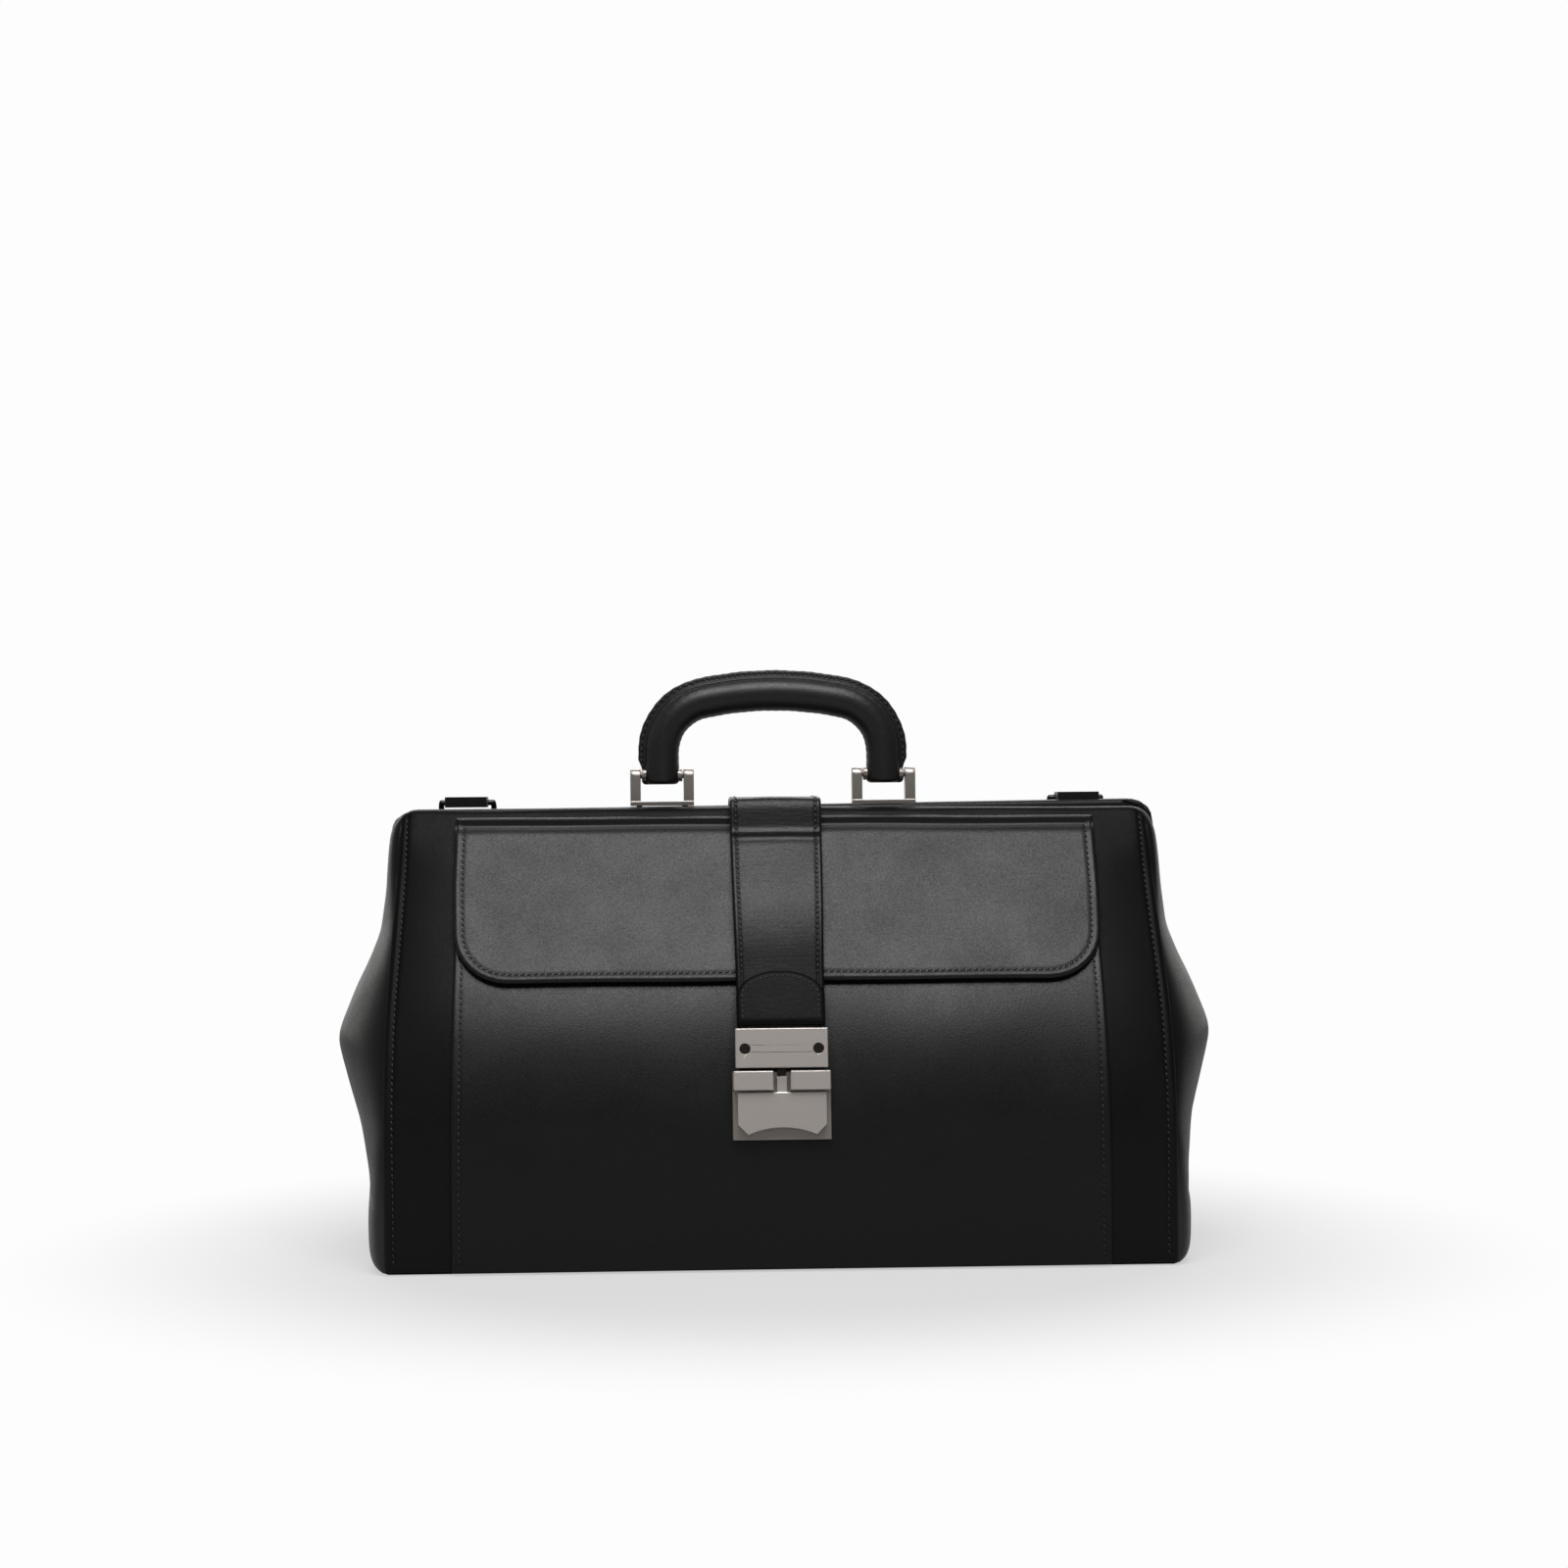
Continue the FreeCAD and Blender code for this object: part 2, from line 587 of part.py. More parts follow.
def handle_eyelets():
    """Metal tube through each end of the handle, which turns on the bracket's pin."""
    length = POST_GAP / 2 - 0.6
    return handle_pin_rod(EYELET_RADIUS, length).cut(handle_pin_rod(HANDLE_PIN + 0.06, length + 2))


def handle_bracket():
    """Right-hand metal stirrup: a base on the rear half's top and two posts that hold the handle's pin."""
    inner = POST_GAP / 2
    outer = inner + POST
    y0, y1 = HANDLE_Y - POST_DEPTH / 2, HANDLE_Y + POST_DEPTH / 2
    base_z = HEIGHT + 0.1
    base = box(HANDLE_LEG_X - outer, HANDLE_LEG_X + outer, y0 - 1, y1 + 1, base_z, base_z + BRACKET_BASE)
    bracket = base
    for side in (-1, 1):
        x0, x1 = sorted((HANDLE_LEG_X + side * inner, HANDLE_LEG_X + side * outer))
        post = box(x0, x1, y0, y1, base_z, POST_TOP - POST_DEPTH / 2)
        crown_z = POST_TOP - POST_DEPTH / 2
        crown = rod(POST_DEPTH / 2, V(x0, HANDLE_Y, crown_z), V(x1, HANDLE_Y, crown_z))
        bracket = bracket.fuse(post).fuse(crown)
    return bracket.removeSplitter().cut(handle_pin_rod(HANDLE_PIN, 40))


def bracket_screws():
    """Two screws up through the steel bar and the cover into each bracket's base."""
    solids = []
    bar_under = HEIGHT - COVER - BAR - 0.3
    for x in (HANDLE_LEG_X - BRACKET_SCREW_X, HANDLE_LEG_X + BRACKET_SCREW_X):
        shank = rod(BRACKET_SCREW, V(x, HANDLE_Y, bar_under), V(x, HANDLE_Y, HEIGHT + 0.1))
        head = rod(2 * BRACKET_SCREW, V(x, HANDLE_Y, bar_under - 1.7), V(x, HANDLE_Y, bar_under))
        solids.append(shank.fuse(head))
    return Part.makeCompound(solids + [left_of(s) for s in solids])


def bracket_screw_holes():
    places = (HANDLE_LEG_X - BRACKET_SCREW_X, HANDLE_LEG_X + BRACKET_SCREW_X)
    rods = [rod(BRACKET_SCREW, V(x, HANDLE_Y, HEIGHT - 8), V(x, HANDLE_Y, HEIGHT + 0.1)) for x in places]
    return Part.makeCompound(rods + [left_of(r) for r in rods])


def anchor_loop():
    """Right-hand leather loop on the rear half's top edge, folded round its ring's straight side."""
    low, high = HEIGHT + 0.1, RING_Z + RING_WIRE + 1.5
    x0, x1 = ANCHOR_X - ANCHOR_HALF_WIDTH, ANCHOR_X + ANCHOR_HALF_WIDTH
    middle = (low + high) / 2
    strap = box(x0, x1, RING_Y - ANCHOR_LENGTH, RING_Y, low, high)
    nose = rod((high - low) / 2, V(x0, RING_Y, middle), V(x1, RING_Y, middle))
    hole = rod(RING_WIRE + 0.3, V(x0 - 1, RING_Y, RING_Z), V(x1 + 1, RING_Y, RING_Z))
    return strap.fuse(nose).cut(hole).removeSplitter()


def ring():
    """Right-hand D-ring for the shoulder strap: it hangs from its straight side down the rear slope."""
    half = RING_INSIDE / 2 + RING_WIRE
    a, b = V(ANCHOR_X - half, RING_Y, RING_Z), V(ANCHOR_X + half, RING_Y, RING_Z)
    lowest = V(ANCHOR_X, RING_Y + RING_DROP * math.sin(LEAN), RING_Z - RING_DROP * math.cos(LEAN))
    bow = Part.Arc(b, lowest, a).toShape()
    start = bow.FirstParameter
    section = Part.Wire(Part.makeCircle(RING_WIRE, bow.valueAt(start), bow.tangentAt(start)))
    curve = Part.Wire([bow]).makePipeShell([section], True, True)
    tips = Part.makeSphere(RING_WIRE, a).fuse(Part.makeSphere(RING_WIRE, b))
    return curve.fuse(rod(RING_WIRE, a, b)).fuse(tips).removeSplitter()


os.makedirs("parts", exist_ok=True)

low_wall = wall_strip(WALL, LOWER_WALL_TOP, -WALL, 0, HALF_WIDTH_LOW)
cover = upper_cover()
rear_bar = rear_of(mouth_bar(BAR_X, PIN_RADIUS))

save("base_panel", base_panel())
save("base_board", base_board())
save("front_wall", low_wall.cut(rivet_holes()))
save("rear_wall", rear_of(low_wall))
save("gusset_right", gusset())
save("gusset_left", left_of(gusset()))
save("wall_lining", lining().cut(rivet_holes()))
save("pocket_front", pocket().cut(rivet_holes()))
save("lock_plate", lock_plate())
save("lock_blocks", lock_blocks())
save("lock_anchor", lock_anchor().cut(rivet_holes()))
save("lock_rivets", lock_rivets())
save("lock_slide", lock_slide())
save("front_cover", cover)
save("front_mouth_bar", mouth_bar(FRONT_EYE_X, PIN_RADIUS + PIN_PLAY))
save("flap_hinge_strip", flap_hinge_strip())
save("pocket_flap", flap())
save("rear_cover", rear_of(cover).cut(bracket_screw_holes()))
save("rear_mouth_bar", rear_bar.cut(bracket_screw_holes()))
save("mouth_hinge_pins", hinge_pins())
save("strap_rear", strap_rear())
save("handle_bracket_right", handle_bracket())
save("handle_bracket_left", left_of(handle_bracket()))
save("bracket_screws", bracket_screws())
save("handle_pins", handle_pin_rod(HANDLE_PIN, POST_GAP / 2 + POST))
save("handle_grip", handle_grip())
save("handle_core", arch_tube(CORE_RADIUS, HANDLE_PIN_Z + 8))
save("handle_eyelets", handle_eyelets())
save("anchor_loop_right", anchor_loop())
save("anchor_loop_left", left_of(anchor_loop()))
save("ring_right", ring())
save("ring_left", left_of(ring()))
save("strap_front", strap_front().cut(hasp_holes()))
save("hasp_plate", hasp_plate())
save("hasp_screws", hasp_screws())
save("hasp_back_plate", hasp_back_plate())
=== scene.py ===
"""Doctor bag in black box leather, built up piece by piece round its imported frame.

Metres throughout, +X to the viewer's right, -Y out of the front, +Z up, the floor at z = 0.
"""

import math

import bpy
import numpy as np
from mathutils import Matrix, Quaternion, Vector


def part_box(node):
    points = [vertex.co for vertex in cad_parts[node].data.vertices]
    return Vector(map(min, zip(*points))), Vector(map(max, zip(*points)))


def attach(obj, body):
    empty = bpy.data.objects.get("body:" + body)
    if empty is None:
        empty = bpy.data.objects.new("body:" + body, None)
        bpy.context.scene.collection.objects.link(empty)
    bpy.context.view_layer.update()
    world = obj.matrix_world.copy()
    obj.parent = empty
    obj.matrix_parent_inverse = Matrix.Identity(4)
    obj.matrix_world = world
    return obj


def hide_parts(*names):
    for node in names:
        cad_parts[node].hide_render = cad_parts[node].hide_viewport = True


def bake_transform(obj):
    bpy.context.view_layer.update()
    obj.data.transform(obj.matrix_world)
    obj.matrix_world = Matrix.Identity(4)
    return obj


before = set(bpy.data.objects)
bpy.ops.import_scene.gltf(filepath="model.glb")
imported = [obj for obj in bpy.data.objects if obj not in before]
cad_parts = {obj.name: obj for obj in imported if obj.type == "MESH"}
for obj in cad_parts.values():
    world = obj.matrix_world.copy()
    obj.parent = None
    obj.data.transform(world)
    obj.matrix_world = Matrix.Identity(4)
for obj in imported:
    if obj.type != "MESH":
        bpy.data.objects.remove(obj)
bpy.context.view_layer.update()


# -----------------------------------------------------------------------------------------------
# Studio: a level camera a little above the bag's top edge, a pale floor, and soft light from above.
# The camera stands two degrees round to the left, so a little more of that end shows.
# -----------------------------------------------------------------------------------------------
EYE_HEIGHT = 0.241
CAMERA_DISTANCE = 1.592
CAMERA_TURN = math.radians(2.0)
CAMERA_ROLL = math.radians(-0.5)
LENS_MM = 69.6
SENSOR_MM = 36.0
AIM = np.array([0.0056, 0.0, EYE_HEIGHT])


def linear(colour):
    """sRGB hex, such as "1c1b1b", as linear red, green, blue and alpha 1."""
    parts = np.array([int(colour[i : i + 2], 16) / 255 for i in (0, 2, 4)])
    low, high = parts / 12.92, ((parts + 0.055) / 1.055) ** 2.4
    return (*np.where(parts <= 0.04045, low, high).tolist(), 1.0)


def add_node(tree, kind, links=(), **settings):
    """One shader node: settings are attributes, or sockets' values when they are named in_SOCKET.

    links are (output socket, input name or number) pairs.
    """
    node = tree.nodes.new(kind)
    for name, value in settings.items():
        if name.startswith("in_"):
            key = name[3:]
            node.inputs[int(key) if key.isdigit() else key.replace("_", " ")].default_value = value
        else:
            setattr(node, name, value)
    for output, key in links:
        tree.links.new(output, node.inputs[key])
    return node


def new_material(name):
    """A material with an empty node tree, and that tree."""
    material = bpy.data.materials.new(name)
    material.use_nodes = True
    material.node_tree.nodes.clear()
    return material, material.node_tree


def new_object(name, vertices, faces, material):
    """A smooth-shaded mesh object; faces are rows of four or more vertex numbers, in outward order."""
    mesh = bpy.data.meshes.new(name)
    mesh.from_pydata(np.asarray(vertices).tolist(), [], [list(map(int, face)) for face in faces])
    mesh.polygons.foreach_set("use_smooth", np.ones(len(mesh.polygons), bool))
    mesh.materials.append(material)
    piece = bpy.data.objects.new(name, mesh)
    bpy.context.scene.collection.objects.link(piece)
    return piece


def soft_light(name, place, aim, size, power):
    """A rectangular soft box that faces aim."""
    data = bpy.data.lights.new(name, "AREA")
    data.shape, data.size, data.size_y, data.energy = "RECTANGLE", size[0], size[1], power
    lamp = bpy.data.objects.new(name, data)
    bpy.context.scene.collection.objects.link(lamp)
    lamp.location = place
    lamp.rotation_euler = (Vector(aim) - Vector(place)).to_track_quat("-Z", "Y").to_euler()


def studio():
    """Camera, floor, surroundings and three soft boxes.

    The camera sees the floor lighten away from the bag and a white backdrop, so no horizon shows.
    What the bag reflects is a dim room, lighter behind it and at its left.
    """
    scene = bpy.context.scene
    scene.view_settings.view_transform = "Standard"
    camera_data = bpy.data.cameras.new("camera")
    camera_data.lens, camera_data.sensor_width = LENS_MM, SENSOR_MM
    camera = bpy.data.objects.new("camera", camera_data)
    scene.collection.objects.link(camera)
    ahead = np.array([math.sin(CAMERA_TURN), math.cos(CAMERA_TURN), 0.0])
    camera.location = AIM - CAMERA_DISTANCE * ahead
    camera.rotation_mode = "QUATERNION"
    level = Vector(ahead).to_track_quat("-Z", "Y")
    camera.rotation_quaternion = level @ Quaternion((0, 0, 1), CAMERA_ROLL)
    scene.camera = camera

    material, tree = new_material("matt_white_paper")
    paper = add_node(tree, "ShaderNodeBsdfPrincipled", in_Base_Color=linear("a8a8a8"), in_Roughness=0.9)
    glow = add_node(tree, "ShaderNodeEmission", in_Color=linear("fdfdfd"), in_Strength=1.0)
    floor_place = add_node(tree, "ShaderNodeTexCoord").outputs["Object"]
    away = add_node(tree, "ShaderNodeVectorMath", [(floor_place, 0)], operation="LENGTH")
    near = add_node(tree, "ShaderNodeMapRange", [(away.outputs["Value"], "Value")], in_From_Min=0.20,
                    in_From_Max=0.42, in_To_Min=0.55, in_To_Max=1.0, interpolation_type="SMOOTHSTEP")
    floor_path = add_node(tree, "ShaderNodeLightPath")
    white = add_node(tree, "ShaderNodeMath", [
        (near.outputs[0], 0), (floor_path.outputs["Is Camera Ray"], 1)], operation="MULTIPLY")
    floor_mix = add_node(tree, "ShaderNodeMixShader", [
        (white.outputs[0], 0), (paper.outputs[0], 1), (glow.outputs[0], 2)])
    add_node(tree, "ShaderNodeOutputMaterial", [(floor_mix.outputs[0], "Surface")])
    corners = [(-6, -6, 0), (6, -6, 0), (6, 6, 0), (-6, 6, 0)]
    new_object("floor", corners, [(0, 1, 2, 3)], material)

    world = bpy.data.worlds.new("studio")
    scene.world = world
    world.use_nodes = True
    tree = world.node_tree
    tree.nodes.clear()
    backdrop = add_node(tree, "ShaderNodeBackground", in_Color=linear("fdfdfd"), in_Strength=1.0)
    direction = add_node(tree, "ShaderNodeTexCoord").outputs["Generated"]
    split = add_node(tree, "ShaderNodeSeparateXYZ", [(direction, 0)])
    behind = add_node(tree, "ShaderNodeMapRange", [(split.outputs["Y"], "Value")],
                      interpolation_type="SMOOTHSTEP", in_From_Min=0.45, in_From_Max=0.88,
                      in_To_Min=0.0, in_To_Max=1.3)
    beside = add_node(tree, "ShaderNodeMapRange", [(split.outputs["X"], "Value")],
                      interpolation_type="SMOOTHSTEP", in_From_Min=-0.55, in_From_Max=-0.90,
                      in_To_Min=0.17, in_To_Max=0.42)
    strength = add_node(tree, "ShaderNodeMath", [(behind.outputs[0], 0), (beside.outputs[0], 1)],
                        operation="MAXIMUM")
    room = add_node(tree, "ShaderNodeBackground", [(strength.outputs[0], "Strength")],
                    in_Color=linear("fbfaf8"))
    room_path = add_node(tree, "ShaderNodeLightPath")
    room_mix = add_node(tree, "ShaderNodeMixShader", [
        (room_path.outputs["Is Camera Ray"], 0), (room.outputs[0], 1), (backdrop.outputs[0], 2)])
    add_node(tree, "ShaderNodeOutputWorld", [(room_mix.outputs[0], "Surface")])

    soft_light("soft_box_above", (0.0, -0.80, 1.55), (0.0, -0.05, 0.15), (1.15, 0.95), 28)
    soft_light("soft_card_front", (0.0, -1.50, 0.64), (0.0, -0.09, 0.08), (0.8, 0.3), 0.31)
    soft_light("soft_box_back", (0.0, 1.2, 1.3), (0.0, 0.0, 0.15), (2.2, 0.8), 16)


studio()


# -----------------------------------------------------------------------------------------------
# Front skin: the leather of the front wall and of the front half of the frame, in one hide.
# Folded over the frame's top edge and turned into the mouth; stitched down 5 mm inside its sides.
# -----------------------------------------------------------------------------------------------
PORE_MM = 1.0526
CLOUD_MM = 26.316
CREASE_MM = (9.0909, 1.6129, 1.6129)
GRAIN_MM = 0.3846


def leather(name, colour="0d0c0c", rough=(0.36, 0.44), specular=0.28, grain=0.28, wrinkles=0.0,
            painted_sheen_by_height=None):
    """Glazed box calf: pores in the bump and the roughness, and broad clouds of roughness.

    A pore is 1.05 mm, coarser than real calf's, so that it shows; a cloud is 26 mm. The creases, 9 mm
    long and 1.6 mm apart, run across. rough is the clouds' range. The last argument is a low and a high
    height, in metres, and the specular level below the low one; above the high one it is the one called
    specular.
    This sheen by height is painted sheen and painted shade, standing in for how the light falls, not the
    hide's own finish.
    """
    material, tree = new_material(name)
    place = add_node(tree, "ShaderNodeTexCoord").outputs["Object"]
    pores = add_node(tree, "ShaderNodeTexNoise", [(place, "Vector")], in_Scale=1000 / PORE_MM, in_Detail=3.0,
                     in_Roughness=0.65)
    broad = add_node(tree, "ShaderNodeTexNoise", [(place, "Vector")], in_Scale=1000 / CLOUD_MM, in_Detail=4.0,
                     in_Roughness=0.6)
    height = pores.outputs["Fac"]
    if wrinkles:
        squeezed = add_node(tree, "ShaderNodeMapping", [(place, "Vector")],
                            in_Scale=[1000 / size for size in CREASE_MM])
        lines = add_node(tree, "ShaderNodeTexNoise", [(squeezed.outputs[0], "Vector")], in_Scale=1.0,
                         in_Detail=2.0, in_Distortion=0.4)
        weight = add_node(tree, "ShaderNodeMath", [(lines.outputs["Fac"], 0)], operation="MULTIPLY",
                          in_1=wrinkles)
        height = add_node(tree, "ShaderNodeMath", [(height, 0), (weight.outputs[0], 1)],
                          operation="ADD").outputs[0]
    bump = add_node(tree, "ShaderNodeBump", [(height, "Height")], in_Strength=grain, in_Distance=0.0003)
    rough_map = add_node(tree, "ShaderNodeMapRange", [(broad.outputs["Fac"], "Value")],
                         in_From_Min=0.3, in_From_Max=0.7, in_To_Min=rough[0], in_To_Max=rough[1])
    speckle = add_node(tree, "ShaderNodeMapRange", [(pores.outputs["Fac"], "Value")],
                       in_From_Min=0.3, in_From_Max=0.7, in_To_Min=-0.08, in_To_Max=0.08)
    finish = add_node(tree, "ShaderNodeMath", [(rough_map.outputs[0], 0), (speckle.outputs[0], 1)],
                      operation="ADD")
    shader = add_node(tree, "ShaderNodeBsdfPrincipled", [
        (finish.outputs[0], "Roughness"), (bump.outputs[0], "Normal")],
        in_Base_Color=linear(colour), in_Specular_IOR_Level=specular)
    # Painted sheen and shade: the specular level changes with height, standing in for how the light falls.
    if painted_sheen_by_height:
        level = add_node(tree, "ShaderNodeSeparateXYZ", [(place, 0)]).outputs["Z"]
        painted_sheen_level = add_node(tree, "ShaderNodeMapRange", [(level, "Value")], interpolation_type="SMOOTHSTEP",
                         in_From_Min=painted_sheen_by_height[0], in_From_Max=painted_sheen_by_height[1], in_To_Min=painted_sheen_by_height[2],
                         in_To_Max=specular)
        tree.links.new(painted_sheen_level.outputs[0], shader.inputs["Specular IOR Level"])
    add_node(tree, "ShaderNodeOutputMaterial", [(shader.outputs[0], "Surface")])
    return material


def plain(name, colour, rough, metallic=0.0, specular=0.5, grain=0.0):
    """One colour and finish; where grain is above nought, the surface is faintly uneven at 0.4 mm."""
    material, tree = new_material(name)
    links = []
    if grain:
        place = add_node(tree, "ShaderNodeTexCoord").outputs["Object"]
        noise = add_node(tree, "ShaderNodeTexNoise", [(place, "Vector")], in_Detail=2.0,
                         in_Scale=1000 / GRAIN_MM)
        bump = add_node(tree, "ShaderNodeBump", [(noise.outputs["Fac"], "Height")], in_Strength=grain,
                        in_Distance=0.0001)
        links = [(bump.outputs[0], "Normal")]
    shader = add_node(tree, "ShaderNodeBsdfPrincipled", links, in_Base_Color=linear(colour),
                      in_Roughness=rough, in_Metallic=metallic, in_Specular_IOR_Level=specular)
    add_node(tree, "ShaderNodeOutputMaterial", [(shader.outputs[0], "Surface")])
    return material


# Box calf given the least sheen of the hides as painted shade, so the walls read dark, and a little more
# sheen low down, painted by height.
wall_leather = leather("black_wall_leather", specular=0.055, painted_sheen_by_height=(0.05, 0.15, 0.17))
# Waxed sewing thread, black: each stitch takes a small highlight.
thread = plain("black_waxed_thread", "090909", 0.42, specular=0.5, grain=0.4)

# The front wall stands upright, bends back on an arc and then leans, as straight as a board.
HALF_DEPTH = round(-float(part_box("front_wall")[0][1]), 5)
TOP = round(float(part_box("front_cover")[1][2]), 5)
UPRIGHT_TO, BEND_RADIUS = 0.050, 0.184
LEAN = math.radians(30.6)
SEAM_INSET = 0.0047
STITCH_PITCH, STITCH_LENGTH, STITCH_RADIUS = 0.0033, 0.0025, 0.00052
STITCH_SLANT = math.radians(17)


def wall_corners(top, low=0.0006, turn=0.006):
    """Points (y, z) of the front wall's outside: a short turn under, upright, a tangent arc, a lean."""
    angle = np.linspace(0, LEAN, 40)
    arc = np.stack([BEND_RADIUS - HALF_DEPTH - BEND_RADIUS * np.cos(angle),
                    UPRIGHT_TO + BEND_RADIUS * np.sin(angle)], 1)
    end = arc[-1] + (top - arc[-1, 1]) * np.array([math.tan(LEAN), 1.0])
    start = [(-HALF_DEPTH + turn, low), (-HALF_DEPTH, low)] if turn else [(-HALF_DEPTH, low)]
    return np.concatenate([start, arc, [end]])


def rounded_line(corners, window=0.006, step=0.00025):
    """A path through corners with its bends softened: even steps, averaged over a moving window.

    Rows are distance along, y, z, and the outward normal's y and z, which is the left of the run.
    """
    corners = np.asarray(corners, float)
    run = np.concatenate([[0], np.cumsum(np.hypot(*np.diff(corners, axis=0).T))])
    even = np.linspace(0, run[-1], int(run[-1] / step))
    points = np.stack([np.interp(even, run, corners[:, k]) for k in (0, 1)], 1)
    half = int(window / step / 2)
    lead = points[0] + (points[1] - points[0]) * np.arange(-half, 0)[:, None]
    tail = points[-1] + (points[-1] - points[-2]) * np.arange(1, half + 1)[:, None]
    padded = np.concatenate([lead, points, tail])
    sums = np.cumsum(np.concatenate([[[0, 0]], padded]), axis=0)
    smooth = (sums[2 * half + 1 :] - sums[: -2 * half - 1]) / (2 * half + 1)
    along = np.concatenate([[0], np.cumsum(np.hypot(*np.diff(smooth, axis=0).T))])
    tangent = np.gradient(smooth, along, axis=0)
    tangent /= np.hypot(*tangent.T)[:, None]
    return np.stack([along, smooth[:, 0], smooth[:, 1], -tangent[:, 1], tangent[:, 0]])


def height_on(path, z):
    """Distance along the path at which its rising part reaches height z."""
    last = int(np.argmax(path[2]))
    return float(np.interp(z, path[2, :last], path[0, :last]))


def place_on(path, x, s, out):
    """Points at x across, s along the path and out from it."""
    y, z, ny, nz = (np.interp(s, path[0], row) for row in path[1:])
    return np.stack([x, y + out * ny, z + out * nz], -1)


def soft_step(value, low, high):
    """0 up to low, 1 from high, and the cubic 3t^2 - 2t^3 between them."""
    t = np.clip((value - low) / (high - low), 0, 1)
    return t * t * (3 - 2 * t)


def sag(x, z):
    """How far the front's layers stand out of true: bells and waves of a millimetre, none at the lock."""
    swell = 0.0010 * np.exp(-(((np.abs(x) - 0.085) / 0.05) ** 2) - ((z - 0.118) / 0.030) ** 2)
    hollow = -0.0011 * np.exp(-(((np.abs(x) - 0.10) / 0.09) ** 2) - ((z - 0.063) / 0.012) ** 2)
    waves = 0.0004 * np.sin(34 * x + 11 * z) * np.sin(41 * z + 1.0) + 0.0003 * np.sin(61 * x - 35 * z)
    lock = 1 - np.exp(-((x / 0.045) ** 4) - ((z - 0.088) / 0.045) ** 4)
    return (swell + hollow + waves * soft_step(z, 0.004, 0.03)) * lock


def side_fall(x, z):
    """How far the hide draws back towards its sides: a square law, faded out at the foot and the top."""
    t = np.clip((np.abs(x) - 0.152) / 0.046, 0, None)
    return 0.0052 * t * t * soft_step(z, 0.015, 0.14) * (1 - soft_step(z, 0.192, 0.222))


def sheet_grid(low, high, half_width, low_corner, high_corner, rows=60, columns=80):
    """A maker of grids (x, s) over a sheet with rounded corners, each inset a little from its edge.

    At a corner of radius r the rows stand at r (1 - cos a) and lose r (1 - sin a) of half width.
    """
    angle = np.linspace(0, math.pi / 2, 9)

    def make(inset):
        r0, r1 = max(low_corner - inset, 1e-5), max(high_corner - inset, 1e-5)
        lower = low + inset + r0 * (1 - np.cos(angle))
        upper = (high - inset - r1 * (1 - np.cos(angle)))[::-1]
        s = np.concatenate([lower, np.linspace(lower[-1], upper[0], rows)[1:-1], upper])
        lost = np.concatenate([r0 * (1 - np.sin(angle)), np.zeros(rows - 2), r1 * (1 - np.sin(angle[::-1]))])
        width = half_width(s) - inset - lost
        return width[:, None] * np.linspace(-1, 1, columns), np.repeat(s[:, None], columns, 1)

    return make


def rim(grid):
    """The grid's outer points in order round it."""
    return np.concatenate([grid[0], grid[1:, -1], grid[-1, -2::-1], grid[-2:0:-1, 0]])


def corner_drop(x, half_width, radius):
    """How far an upper corner rounded to the radius falls below the top edge, at x across."""
    past = np.clip(np.abs(x) - (half_width - radius), 0, radius)
    return radius - np.sqrt(np.maximum(radius ** 2 - past ** 2, 0))


def grid_faces(rows, columns, first=0):
    """The four-sided faces of a grid whose points are numbered row by row from first."""
    at = first + np.arange(rows * columns).reshape(rows, columns)
    return np.stack([at[:-1, :-1], at[:-1, 1:], at[1:, 1:], at[1:, :-1]], -1).reshape(-1, 4)


def volume(points, faces):
    """Six times the enclosed volume of four-sided faces, above nought where they face outwards."""
    a, b, c, d = (points[faces[:, k]] for k in range(4))
    return float(np.sum(np.cross(b - a, c - a) * a) + np.sum(np.cross(c - a, d - a) * a))


def sheet_piece(name, make, profile, place, material):
    """A closed sheet: a face grid, an edge that follows the profile (inset, out) round it, a back grid."""
    insets, outs = np.array(profile).T
    grids = [make(inset) for inset in insets]
    rows, columns = grids[0][0].shape
    front = place(grids[0][0], grids[0][1], np.full((rows, columns), outs[0]))
    back = place(grids[-1][0], grids[-1][1], np.full((rows, columns), outs[-1]))
    numbers = np.arange(rows * columns).reshape(rows, columns)
    points = [front.reshape(-1, 3), back.reshape(-1, 3)]
    rings = [rim(numbers)]
    count = 2 * rows * columns
    for k in range(1, len(outs) - 1):
        x, s = rim(grids[k][0]), rim(grids[k][1])
        points.append(place(x, s, np.full(len(x), outs[k])))
        rings.append(count + np.arange(len(x)))
        count += len(x)
    rings.append(rows * columns + rim(numbers))
    faces = [grid_faces(rows, columns), grid_faces(rows, columns, rows * columns)[:, ::-1]]
    for a, b in zip(rings, rings[1:]):
        faces.append(np.stack([np.roll(a, -1), a, b, np.roll(b, -1)], 1))
    points, faces = np.concatenate(points), np.concatenate(faces)
    if volume(points, faces) < 0:
        faces = faces[:, ::-1]
    return new_object(name, points, faces, material)


